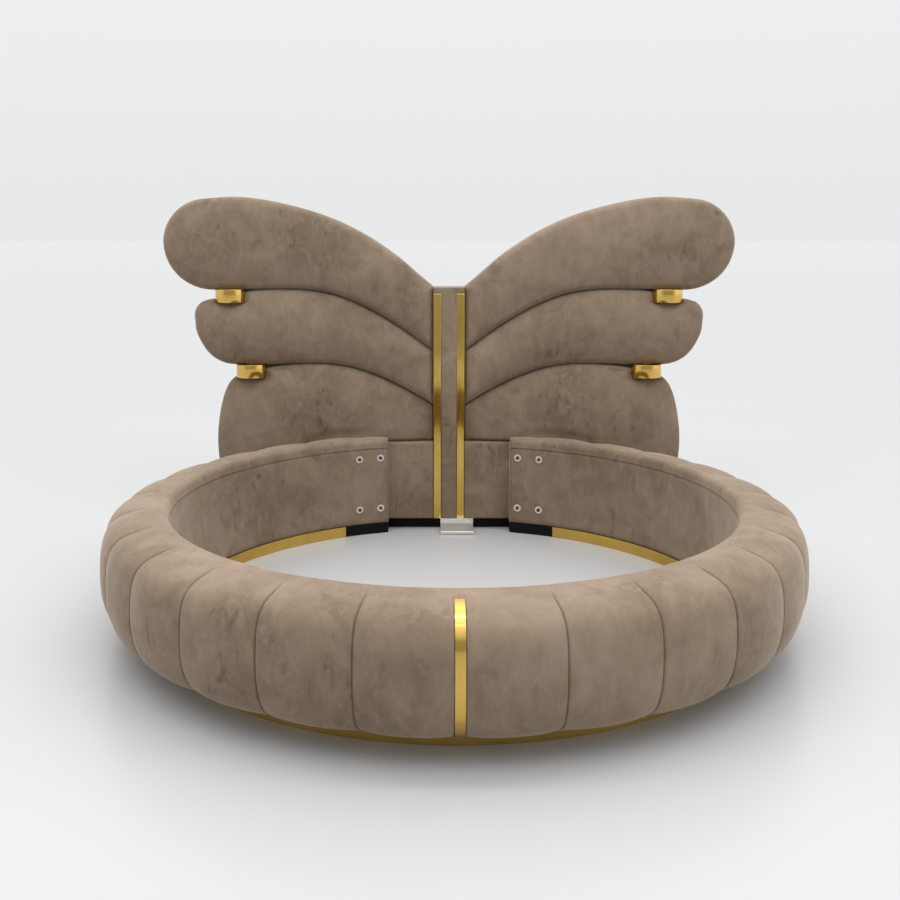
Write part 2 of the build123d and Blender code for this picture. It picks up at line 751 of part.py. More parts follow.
def headboard_middle():
    """All nodes of the headboard's middle, back and base."""
    nodes = {
        "spine": spine(),
        "column_pad": column_pad(),
        "back_board": back_board(),
        "back_lining": back_lining(),
        "headboard_plinth": headboard_plinth(),
        "beam_bracket": bracket(),
        "bracket_screws": group(screws()),
    }
    nodes |= both_sides("upright_strip", upright_strip())
    nodes |= both_sides("lower_panel_pad", panel_pad())
    nodes |= both_sides("lower_panel_frame", panel_frame())
    nodes |= both_sides("corner_block", corner_block())
    return nodes


def fasteners():
    """Bolts, washers and inserts of the two lap ends, each kind under one name."""
    kinds = {"lap_bolts": lap_bolts(), "lap_washers": lap_washers(), "lap_inserts": lap_inserts()}
    nodes = {}
    for name, pieces in kinds.items():
        nodes[name] = group(pieces + [mirror(piece, Plane.YZ) for piece in pieces])
    return nodes


def write(nodes):
    """Stand the bed on its origin, under the middle of its box, and write each node."""
    os.makedirs("parts", exist_ok=True)
    front = nodes["right_rail_pad"].bounding_box().min.Y
    back = nodes["back_lining"].bounding_box().max.Y
    shift = -(front + back) / 2
    print("ring centre at y =", round(shift, 3))
    for name, shape in nodes.items():
        export_step(Pos(0, shift, 0) * shape, os.path.join("parts", name + ".step"))


write(rails() | wings() | headboard_middle() | fasteners())
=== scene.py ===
"""Round upholstered bed with a winged headboard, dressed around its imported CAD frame.

Every length is in metres, in the frame of the CAD part: +Y towards the headboard, +Z up.
"""
import json
import logging
import math
from dataclasses import dataclass
from enum import Enum
from typing import Iterable, Iterator, Sequence

import bmesh
import bpy
from mathutils import Matrix, Vector, geometry, noise
from mathutils.bvhtree import BVHTree


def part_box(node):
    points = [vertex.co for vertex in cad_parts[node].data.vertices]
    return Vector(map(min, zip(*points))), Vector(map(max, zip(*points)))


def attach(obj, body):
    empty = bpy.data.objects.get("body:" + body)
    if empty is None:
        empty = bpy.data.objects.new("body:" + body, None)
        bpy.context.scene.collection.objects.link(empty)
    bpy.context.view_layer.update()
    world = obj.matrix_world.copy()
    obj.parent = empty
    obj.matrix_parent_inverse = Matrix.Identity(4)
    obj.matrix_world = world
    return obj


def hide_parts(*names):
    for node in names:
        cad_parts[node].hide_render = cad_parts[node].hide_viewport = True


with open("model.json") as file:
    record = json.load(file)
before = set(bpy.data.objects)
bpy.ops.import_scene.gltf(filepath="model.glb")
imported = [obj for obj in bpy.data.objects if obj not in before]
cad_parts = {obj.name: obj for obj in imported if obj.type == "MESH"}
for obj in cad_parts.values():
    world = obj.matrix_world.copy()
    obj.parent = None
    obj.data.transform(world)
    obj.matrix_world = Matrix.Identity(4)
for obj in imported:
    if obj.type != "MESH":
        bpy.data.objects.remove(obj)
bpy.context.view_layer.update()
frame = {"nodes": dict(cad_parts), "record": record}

log = logging.getLogger("bed")
MM = 0.001
HELD_SHARE = 0.5                        # below it a vertex of a pad is pinned in the cloth pass
SQUARE_EDGE = 60.0                      # degrees between two faces that meet in a rim
BODY = "root"
BAND_FACE = 1.0012                      # ring's centre to the face of an inner base band
RING_CENTRE = Vector((0.0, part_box("right_inner_base_band")[0].y + BAND_FACE, 0.0))
FRONT_PLANE = RING_CENTRE.y + 1.010     # where the rails butt against the headboard


class Side(Enum):
    """The two sides of the bed, as seen from its front end."""

    RIGHT = 1
    LEFT = -1

    @property
    def word(self) -> str:
        """The side's name as the nodes spell it."""
        return self.name.lower()


# Shader maths

class Wire:
    """A socket that takes part in arithmetic; each operation adds a Math node."""

    def __init__(self, shop: "Shader", socket: bpy.types.NodeSocket) -> None:
        """Keep the socket and the shader that it belongs to.

        Args:
            shop: the shader whose tree gets the new nodes.
            socket: the output that this wire carries.
        """
        self.shop = shop
        self.socket = socket

    def math(self, operation: str, *values: "Wire | float") -> "Wire":
        """One Math node on this wire and other values.

        Args:
            operation: the node's operation.
            values: the inputs in order.

        Returns:
            The node's result.
        """
        inputs = {index: value for index, value in enumerate(values)}
        return self.shop.add("ShaderNodeMath", {"operation": operation}, inputs)

    def __add__(self, other: "Wire | float") -> "Wire":
        """Sum."""
        return self.math("ADD", self, other)

    __radd__ = __add__

    def __mul__(self, other: "Wire | float") -> "Wire":
        """Product."""
        return self.math("MULTIPLY", self, other)

    __rmul__ = __mul__

    def __sub__(self, other: "Wire | float") -> "Wire":
        """Difference."""
        return self.math("SUBTRACT", self, other)

    def __rsub__(self, other: float) -> "Wire":
        """A number less this wire."""
        return self.math("SUBTRACT", other, self)

    def __pow__(self, other: float) -> "Wire":
        """Power."""
        return self.math("POWER", self, other)

    def ramp(self, low: float, high: float) -> "Wire":
        """Smooth step from 0 at low to 1 at high."""
        settings = {"interpolation_type": "SMOOTHSTEP"}
        return self.shop.add("ShaderNodeMapRange", settings, {0: self, 1: low, 2: high})


class Shader:
    """A material's node tree, with one method that makes every node."""

    def __init__(self, name: str, owner: "bpy.types.ID | None" = None) -> None:
        """Start an empty material, or an empty tree on another owner.

        Args:
            name: the material's name.
            owner: a world that gets the nodes in place of a material.
        """
        self.material = owner or bpy.data.materials.new(name)
        self.material.use_nodes = True
        self.tree = self.material.node_tree
        self.tree.nodes.clear()
        self.place = self.add("ShaderNodeTexCoord", output="Object")

    def add(self, kind: str, settings: dict | None = None, inputs: dict | None = None,
            output: "int | str" = 0) -> Wire:
        """Make a node, set it up and wire it.

        Args:
            kind: the node's type.
            settings: attributes to set first; "stops" fills a colour ramp.
            inputs: socket names or numbers, with a wire or a constant for each.
            output: the output to hand back.

        Returns:
            The chosen output.
        """
        node = self.tree.nodes.new(kind)
        for key, value in (settings or {}).items():
            if key == "stops":
                self.fill_ramp(node.color_ramp, value)
            else:
                setattr(node, key, value)
        for key, value in (inputs or {}).items():
            if isinstance(value, Wire):
                self.tree.links.new(value.socket, node.inputs[key])
            else:
                node.inputs[key].default_value = value
        return Wire(self, node.outputs[output] if node.outputs else None)

    @staticmethod
    def fill_ramp(ramp: bpy.types.ColorRamp, stops: Sequence[tuple]) -> None:
        """Give a colour ramp its stops.

        Args:
            ramp: the ramp.
            stops: pairs of a position and a grey level or colour.
        """
        while len(ramp.elements) < len(stops):
            ramp.elements.new(1.0)
        for element, (position, colour) in zip(ramp.elements, stops):
            element.position = position
            element.color = (*colour, 1.0)

    def noise(self, scale: float, detail: float = 3.0, distortion: float = 0.0,
              place: "Wire | None" = None, rough: float = 0.5) -> Wire:
        """Noise on object coordinates, or on a place that is handed in."""
        inputs = {"Vector": place or self.place, "Scale": scale, "Detail": detail,
                  "Distortion": distortion, "Roughness": rough}
        return self.add("ShaderNodeTexNoise", inputs=inputs)

    def stretched(self, scale: tuple[float, float, float],
                  turn: tuple[float, float, float] = (0.0, 0.0, 0.0)) -> Wire:
        """Object coordinates, turned and then stretched."""
        inputs = {"Vector": self.place, "Scale": scale, "Rotation": turn}
        return self.add("ShaderNodeMapping", inputs=inputs)

    def mix(self, share: "Wire | float", first: "Wire | tuple", second: "Wire | tuple") -> Wire:
        """Blend of two colours.

        Args:
            share: of the second colour.
            first: the colour at 0.
            second: the colour at 1.

        Returns:
            The blend.
        """
        first = first if isinstance(first, Wire) else (*first, 1.0)
        second = second if isinstance(second, Wire) else (*second, 1.0)
        settings = {"data_type": "RGBA"}
        return self.add("ShaderNodeMix", settings, {0: share, 6: first, 7: second}, 2)

    def bump(self, height: Wire, depth: float, strength: float = 1.0,
             over: "Wire | None" = None) -> Wire:
        """Bump from a height, over an earlier one where there is one.

        Args:
            height: from 0 to 1.
            depth: what a height of 1 stands for.
            strength: share of the bump that shows.
            over: the earlier bump.

        Returns:
            The normal.
        """
        inputs = {"Height": height, "Distance": depth, "Strength": strength}
        if over:
            inputs["Normal"] = over
        return self.add("ShaderNodeBump", inputs=inputs)

    def finish(self, inputs: dict) -> bpy.types.Material:
        """End the tree in a Principled surface.

        Args:
            inputs: its sockets.

        Returns:
            The material.
        """
        surface = self.add("ShaderNodeBsdfPrincipled", inputs=inputs)
        self.add("ShaderNodeOutputMaterial", inputs={"Surface": surface})
        return self.material


# Finishes

@dataclass(frozen=True)
class Velvet:
    """Velvet with finger marks in its nap, and painted shade along the lines of the attribute "seam"."""

    name: str = "taupe_velvet"
    deep: tuple = (0.108, 0.074, 0.049)
    dark: tuple = (0.122, 0.083, 0.055)
    middle: tuple = (0.187, 0.136, 0.094)
    light: tuple = (0.262, 0.198, 0.145)
    # painted shade: the dark colour laid into the seams' grooves
    seam: tuple = (0.030, 0.018, 0.012)
    broad_scale: float = 2.3
    patch_scale: float = 8.5
    smear_scale: float = 14.0
    finger_scale: float = 34.0
    fibre_scale: float = 900.0
    stroke_stretch: tuple = (1.0, 1.0, 0.5)
    stroke_turn: tuple = (0.2, 0.5, 0.35)
    nap_shares: tuple = (0.34, 0.36, 0.30)
    dark_share: float = 0.6
    mark_share: float = 1.15
    lifted_share: float = 0.7
    fibre_share: float = 0.18
    seam_shade_share: float = 0.6
    soft_depth: float = 0.0010
    pile_depth: float = 0.0004
    rough: float = 0.9
    sheen: float = 0.38
    sheen_rough: float = 0.4
    sheen_tint: tuple = (0.95, 0.82, 0.68, 1.0)
    gloss: float = 0.12

    def make(self) -> bpy.types.Material:
        """Build the node tree.

        Returns:
            The material, ready for a piece.
        """
        shader = Shader(self.name)
        broad = shader.noise(self.broad_scale, 2.0, 0.4)
        patch = shader.noise(self.patch_scale, 5.0, 1.0, rough=0.6)
        stroked = shader.stretched(self.stroke_stretch, self.stroke_turn)
        smear = shader.noise(self.smear_scale, 4.0, 1.2, stroked, 0.62)
        finger = shader.noise(self.finger_scale, 3.0, 0.8, stroked, 0.55)
        fibre = shader.noise(self.fibre_scale, 2.0)
        nap = broad * self.nap_shares[0] + patch * self.nap_shares[1] + smear * self.nap_shares[2]
        shaded = (1.0 - nap).ramp(0.50, 0.64) * self.dark_share
        marks = smear.ramp(0.47, 0.70) * finger.ramp(0.34, 0.68) * (1.0 - broad).ramp(0.42, 0.60)
        lifted = (1.0 - smear).ramp(0.50, 0.68) * finger.ramp(0.40, 0.64) * self.lifted_share
        line = shader.add("ShaderNodeAttribute", {"attribute_name": "seam"}, output="Fac")
        colour = shader.mix(nap.ramp(0.43, 0.66), self.middle, self.light)
        colour = shader.mix(shaded, colour, self.dark)
        colour = shader.mix(marks * self.mark_share, colour, self.deep)
        colour = shader.mix(lifted, colour, self.light)
        colour = shader.mix(fibre.ramp(0.35, 0.75) * self.fibre_share, colour, self.light)
        # painted shade along the seams, weighted by the attribute "seam"
        colour = shader.mix(line * self.seam_shade_share, colour, self.seam)
        soft = shader.bump(patch + smear * 0.5, self.soft_depth, 0.4)
        pile = shader.bump(fibre, self.pile_depth, 0.35, soft)
        return shader.finish({"Base Color": colour, "Roughness": self.rough, "Normal": pile,
                              "Sheen Weight": self.sheen, "Sheen Roughness": self.sheen_rough,
                              "Sheen Tint": self.sheen_tint, "Specular IOR Level": self.gloss})


@dataclass(frozen=True)
class Metal:
    """Metal with a faint brushing and cloudy tarnish."""

    name: str
    colour: tuple
    tarnish: tuple
    rough: float
    brushed: tuple = (30.0, 30.0, 900.0)
    blotch: float = 12.0
    tarnish_share: float = 0.6
    cloud_rough: float = 0.10
    line_rough: float = 0.06
    grain: float = 0.00002

    def make(self) -> bpy.types.Material:
        """Build the node tree.

        Returns:
            The material, ready for a piece.
        """
        shader = Shader(self.name)
        lines = shader.noise(1.0, 3.0, place=shader.stretched(self.brushed))
        cloud = shader.noise(self.blotch, 4.0, 0.4)
        colour = shader.mix(cloud.ramp(0.42, 0.72) * self.tarnish_share, self.colour, self.tarnish)
        rough = cloud * self.cloud_rough + lines * self.line_rough + (self.rough - self.line_rough)
        return shader.finish({"Base Color": colour, "Metallic": 1.0, "Roughness": rough,
                              "Normal": shader.bump(lines, self.grain, 0.4)})


@dataclass(frozen=True)
class Timber:
    """Wood with long grain, and veneer edges where it is plywood."""

    name: str
    light: tuple
    dark: tuple
    ply: float = 0.0
    ply_share: float = 0.25
    grain_stretch: tuple = (1.0, 14.0, 14.0)
    grain_depth: float = 0.0003
    rough: float = 0.55

    def make(self) -> bpy.types.Material:
        """Build the node tree.

        Returns:
            The material, ready for a piece.
        """
        shader = Shader(self.name)
        grain = shader.noise(4.0, 6.0, 0.8, shader.stretched(self.grain_stretch), 0.6)
        colour = shader.mix(grain.ramp(0.35, 0.65), self.light, self.dark)
        if self.ply:
            bands = shader.add("ShaderNodeTexWave", {"bands_direction": "Y"},
                               {"Vector": shader.place, "Scale": self.ply, "Distortion": 0.6})
            colour = shader.mix(bands * self.ply_share, colour, self.dark)
        return shader.finish({"Base Color": colour, "Roughness": grain * 0.2 + self.rough,
                              "Normal": shader.bump(grain, self.grain_depth, 0.5)})


@dataclass(frozen=True)
class Paint:
    """Matt paint over board, with a faint orange peel and a little dust."""

    name: str
    colour: tuple
    rough: float
    peel_scale: float = 160.0
    peel_depth: float = 0.0002
    dust_share: float = 0.5
    gloss: float = 0.12

    def make(self) -> bpy.types.Material:
        """Build the node tree.

        Returns:
            The material, ready for a piece.
        """
        shader = Shader(self.name)
        peel = shader.noise(self.peel_scale, 2.0)
        dust = shader.noise(14.0, 5.0, 0.5)
        worn = tuple(value * 1.6 + 0.003 for value in self.colour)
        colour = shader.mix(dust.ramp(0.5, 0.8) * self.dust_share, self.colour, worn)
        return shader.finish({"Base Color": colour, "Roughness": dust * 0.2 + (self.rough - 0.08),
                              "Specular IOR Level": self.gloss,
                              "Normal": shader.bump(peel, self.peel_depth, 0.4)})


@dataclass(frozen=True)
class Weave:
    """Thin plain-woven cloth."""

    name: str
    colour: tuple
    thread_scale: float = 45.0
    thread_depth: float = 0.0003
    thread_share: float = 0.6
    cloud_share: float = 0.3
    rough: float = 0.92

    def make(self) -> bpy.types.Material:
        """Build the node tree.

        Returns:
            The material, ready for a piece.
        """
        shader = Shader(self.name)
        across, along = (shader.add("ShaderNodeTexWave", {"bands_direction": direction},
                                    {"Vector": shader.place, "Scale": self.thread_scale})
                         for direction in "XZ")
        cloud = shader.noise(7.0, 4.0)
        raised = tuple(value * 1.8 + 0.006 for value in self.colour)
        threads = across * along
        colour = shader.mix(threads * self.thread_share + cloud * self.cloud_share, self.colour, raised)
        return shader.finish({"Base Color": colour, "Roughness": self.rough,
                              "Normal": shader.bump(threads, self.thread_depth, 0.5)})


ROLLED_GRAIN = (200.0, 200.0, 200.0)
FINISHES = {
    "velvet": Velvet(),
    "brass": Metal("polished_brass", (0.66, 0.44, 0.115), (0.55, 0.34, 0.07), 0.10),
    "black_base": Paint("black_base_paint", (0.004, 0.004, 0.004), 0.55),
    "plywood": Timber("raw_plywood", (0.62, 0.45, 0.27), (0.42, 0.27, 0.14), 120.0),
    "softwood": Timber("planed_softwood", (0.66, 0.49, 0.30), (0.50, 0.33, 0.17)),
    "steel": Metal("zinc_plate", (0.90, 0.89, 0.86), (0.80, 0.79, 0.75), 0.36, ROLLED_GRAIN),
    "dark_bolt": Metal("browned_bolt", (0.16, 0.13, 0.10), (0.10, 0.08, 0.06), 0.40, ROLLED_GRAIN),
    "galvanised": Metal("galvanised_steel", (0.82, 0.82, 0.81), (0.75, 0.75, 0.74), 0.52,
                        (60.0, 60.0, 60.0), 24.0),
    "lining": Weave("black_lining", (0.012, 0.012, 0.013)),
}
MADE: dict[str, bpy.types.Material] = {}


def material(slot: str) -> bpy.types.Material:
    """The finish of a slot, made on its first use."""
    if slot not in MADE:
        MADE[slot] = FINISHES[slot].make()
    return MADE[slot]


# Mesh helpers

def smooth_step(value: float, low: float, high: float) -> float:
    """0 at low, 1 at high, smooth between them."""
    share = min(max((value - low) / (high - low), 0.0), 1.0)
    return share * share * (3.0 - 2.0 * share)


def rolled(distance: float, radius: float) -> float:
    """How far a rounded edge of that radius falls away at a distance from the edge."""
    if distance >= radius:
        return 0.0
    return radius - math.sqrt(radius ** 2 - (radius - max(distance, 0.0)) ** 2)


def curve_through(points: Sequence[Vector], first: Vector, last: Vector, steps: int) -> list[Vector]:
    """Points of a smooth curve.

    Args:
        points: what the curve goes through.
        first: its direction at the first point.
        last: its direction at the last point.
        steps: points on each stretch.

    Returns:
        The curve's points.
    """
    slopes = [first.normalized()]
    for before, after in zip(points, points[2:]):
        slopes.append((after - before).normalized())
    slopes.append(last.normalized())
    path: list[Vector] = []
    for index in range(len(points) - 1):
        start, end = points[index], points[index + 1]
        pull = (end - start).length / 3.0
        stretch = geometry.interpolate_bezier(start, start + slopes[index] * pull,
                                              end - slopes[index + 1] * pull, end, steps)
        path += stretch[:-1]
    return path + [points[-1]]


def piece(mesh: bmesh.types.BMesh, name: str, slot: str, stands_for: Iterable[str] = (),
          smooth: bool = True, angle: float = 40.0) -> bpy.types.Object:
    """Finish a mesh as a piece of the bed that rides on its body.

    Args:
        mesh: the geometry, in place.
        name: the piece's name.
        slot: the record's material slot.
        stands_for: CAD nodes that it replaces.
        smooth: shade it smooth, with sharp edges over the angle.
        angle: that angle in degrees.

    Returns:
        The object, at the origin.
    """
    data = bpy.data.meshes.new(name)
    mesh.normal_update()
    if smooth:
        for face in mesh.faces:
            face.smooth = True
        for edge in mesh.edges:
            if len(edge.link_faces) == 2 and edge.calc_face_angle(0.0) > math.radians(angle):
                edge.smooth = False
    mesh.to_mesh(data)
    mesh.free()
    item = bpy.data.objects.new(name, data)
    bpy.context.scene.collection.objects.link(item)
    data.materials.append(material(slot))
    if stands_for:
        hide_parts(*stands_for)
    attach(item, BODY)
    log.info("%s: %d faces", name, len(data.polygons))
    return item


def mirrored(mesh: bmesh.types.BMesh) -> bmesh.types.BMesh:
    """A copy of a mesh on the other side of the bed, facing the way that the mesh does.

    Args:
        mesh: the one to copy.

    Returns:
        The copy.
    """
    other = mesh.copy()
    bmesh.ops.scale(other, vec=Vector((-1.0, 1.0, 1.0)), verts=other.verts)
    bmesh.ops.recalc_face_normals(other, faces=other.faces)
    return other


def pair(right: bmesh.types.BMesh) -> Iterator[tuple[Side, bmesh.types.BMesh]]:
    """A right mesh and its mirror image, each with its side.

    Args:
        right: the right mesh.

    Returns:
        The two, the right one first.
    """
    left = mirrored(right)
    yield Side.RIGHT, right
    yield Side.LEFT, left


def dress_pair(right: bmesh.types.BMesh, name: str, slot: str,
               angle: float = 40.0) -> None:
    """Replace a CAD node of each side by a dressed piece.

    Args:
        right: the right piece's mesh.
        name: the nodes' name without its side.
        slot: the record's material slot.
        angle: degrees above which an edge is shaded sharp.
    """
    for side, mesh in pair(right):
        node = f"{side.word}_{name}"
        item = piece(mesh, f"{node}_dressed", slot, [node], angle=angle)


def cad_copy(node: str) -> bmesh.types.BMesh:
    """A CAD node's mesh, merged into closed shells.

    Args:
        node: its name.

    Returns:
        The merged copy.
    """
    mesh = bmesh.new()
    mesh.from_mesh(frame["nodes"][node].data)
    bmesh.ops.remove_doubles(mesh, verts=mesh.verts, dist=0.01 * MM)
    bmesh.ops.recalc_face_normals(mesh, faces=mesh.faces)
    return mesh


def even_net(mesh: bmesh.types.BMesh, voxel: float) -> bmesh.types.BMesh:
    """A solid as an even net of small faces.

    Args:
        mesh: the solid.
        voxel: the size of a face.

    Returns:
        The net, as a new mesh.
    """
    data = bpy.data.meshes.new("pad_blank")
    mesh.to_mesh(data)
    blank = bpy.data.objects.new("pad_blank", data)
    bpy.context.scene.collection.objects.link(blank)
    net = blank.modifiers.new("net", "REMESH")
    net.mode = "VOXEL"
    net.voxel_size = voxel
    result = blank.evaluated_get(bpy.context.evaluated_depsgraph_get()).to_mesh()
    fresh = bmesh.new()
    fresh.from_mesh(result)
    bpy.data.objects.remove(blank, do_unlink=True)
    return fresh


def puffed(mesh: bmesh.types.BMesh, loose: dict, cap: float, pressure: float = 4.0,
           frames: int = 20) -> None:
    """Swell the loose part of a pad with a cloth simulation.

    Args:
        mesh: the pad, which takes the result.
        loose: how far each free vertex may follow the cloth, from 0 to 1; the rest is held.
        cap: the furthest that a point may move.
        pressure: of the air inside.
        frames: steps of the simulation.
    """
    scene = bpy.context.scene
    mesh.verts.index_update()
    shares = {vert.index: share for vert, share in loose.items()}
    front = mesh.copy()
    number = front.verts.layers.int.new("number")
    for vert in front.verts:
        vert[number] = vert.index
    inner = [vert for vert in front.verts if not shares.get(vert.index)
             and not any(shares.get(edge.other_vert(vert).index) for edge in vert.link_edges)]
    bmesh.ops.delete(front, geom=inner, context="VERTS")
    numbers = [vert[number] for vert in front.verts]
    data = bpy.data.meshes.new("cloth_blank")
    front.to_mesh(data)
    front.free()
    blank = bpy.data.objects.new("cloth_blank", data)
    scene.collection.objects.link(blank)
    held = blank.vertex_groups.new(name="held")
    still = [place for place, index in enumerate(numbers) if shares.get(index, 0.0) < HELD_SHARE]
    held.add(still, 1.0, "REPLACE")
    cloth = blank.modifiers.new("cloth", "CLOTH")
    cloth.settings.use_pressure = True
    cloth.settings.uniform_pressure_force = pressure
    cloth.settings.effector_weights.gravity = 0.0
    cloth.settings.vertex_group_mass = held.name
    cloth.collision_settings.use_collision = False
    cloth.point_cache.frame_start = 1
    cloth.point_cache.frame_end = frames
    for step in range(1, frames + 1):
        scene.frame_set(step)
    result = blank.evaluated_get(bpy.context.evaluated_depsgraph_get()).to_mesh()
    furthest = 0.0
    mesh.verts.ensure_lookup_table()
    for index, swollen in zip(numbers, result.vertices):
        move = swollen.co - mesh.verts[index].co
        furthest = max(furthest, move.length)
        if move.length > cap:
            move *= cap / move.length
        mesh.verts[index].co += move * shares.get(index, 0.0)
    bpy.data.objects.remove(blank, do_unlink=True)
    scene.frame_set(1)
    log.info("cloth moved up to %.1f mm", furthest / MM)


def ease(mesh: bmesh.types.BMesh, edge: float, segments: int, angle: float = SQUARE_EDGE) -> None:
    """Round the edges where two faces meet at more than an angle.

    Args:
        mesh: the mesh, which takes the result.
        edge: the radius along the edges.
        segments: facets across an edge.
        angle: that angle in degrees.
    """
    rims = [item for item in mesh.edges if item.calc_face_angle(0.0) > math.radians(angle)]
    bmesh.ops.bevel(mesh, geom=rims, offset=edge, segments=segments, profile=0.5, affect="EDGES",
                    material=-1, clamp_overlap=True)


def block(low: Vector, high: Vector, edge: float, segments: int = 3) -> bmesh.types.BMesh:
    """A box with rounded edges.

    Args:
        low: its lowest corner.
        high: its highest corner.
        edge: the radius along its edges.
        segments: facets across an edge.

    Returns:
        The mesh.
    """
    mesh = bmesh.new()
    bmesh.ops.create_cube(mesh, size=1.0)
    bmesh.ops.scale(mesh, vec=high - low, verts=mesh.verts)
    bmesh.ops.translate(mesh, vec=(low + high) / 2, verts=mesh.verts)
    ease(mesh, edge, segments)
    return mesh


def spun(section: Sequence[Vector], start: float, end: float, steps: int) -> bmesh.types.BMesh:
    """A closed section turned about the ring's centre.

    Args:
        section: corners of the section, as (radius, 0, height).
        start: angle from the front of the ring, towards +X.
        end: last angle.
        steps: facets along the turn.

    Returns:
        The mesh, centred on the ring, open at both ends. The layer "place" holds each vertex's
        place in the section.
    """
    mesh = bmesh.new()
    place = mesh.verts.layers.int.new("place")
    verts = [mesh.verts.new(corner) for corner in section]
    for index, vert in enumerate(verts):
        vert[place] = index
        mesh.edges.new((vert, verts[(index + 1) % len(verts)]))
    bmesh.ops.rotate(mesh, cent=Vector(), matrix=Matrix.Rotation(start - math.pi / 2, 3, "Z"),
                     verts=mesh.verts)
    bmesh.ops.spin(mesh, geom=mesh.verts[:] + mesh.edges[:], cent=Vector(), axis=Vector((0, 0, 1)),
                   angle=end - start, steps=steps, use_merge=False)
    return mesh


def cut(mesh: bmesh.types.BMesh, point: Vector, normal: Vector, behind: float | None = None) -> None:
    """Cut away what lies beyond a plane.

    Args:
        mesh: the mesh.
        point: a point of the plane.
        normal: points to the side that goes.
        behind: where given, only faces whose middle lies behind this are cut.
    """
    faces = [face for face in mesh.faces if behind is None or face.calc_center_median().y > behind]
    verts = dict.fromkeys(vert for face in faces for vert in face.verts)
    edges = dict.fromkeys(edge for face in faces for edge in face.edges)
    bmesh.ops.bisect_plane(mesh, geom=[*verts, *edges, *faces], plane_co=point, plane_no=normal,
                           clear_outer=True, dist=1e-6)


def close_ends(mesh: bmesh.types.BMesh) -> None:
    """Fill every open loop and make the faces agree.

    They then point outwards, but for those of the inner covers, which come out facing inwards.

    Args:
        mesh: the mesh, which takes the result.
    """
    loose = [vert for vert in mesh.verts if not vert.link_faces]
    bmesh.ops.delete(mesh, geom=loose, context="VERTS")
    bmesh.ops.holes_fill(mesh, edges=[edge for edge in mesh.edges if edge.is_boundary], sides=0)
    bmesh.ops.recalc_face_normals(mesh, faces=mesh.faces)


def lift(verts: Iterable[bmesh.types.BMVert], distance: float) -> None:
    """Move vertices outwards along their normals."""
    for vert, normal in [(vert, vert.normal.copy()) for vert in verts]:
        vert.co += normal * distance


def thicken(mesh: bmesh.types.BMesh, gap: float, thickness: float) -> None:
    """Turn an open surface into cloth that lies just off it.

    Args:
        mesh: the surface, with its faces outwards.
        gap: distance from the surface to the cloth.
        thickness: of the cloth.
    """
    mesh.normal_update()
    lift(mesh.verts, gap)
    mesh.normal_update()
    shell = bmesh.ops.extrude_face_region(mesh, geom=mesh.faces[:], use_keep_orig=True)
    lift([item for item in shell["geom"] if isinstance(item, bmesh.types.BMVert)], thickness)
    bmesh.ops.recalc_face_normals(mesh, faces=mesh.faces)


# Sub-assemblies

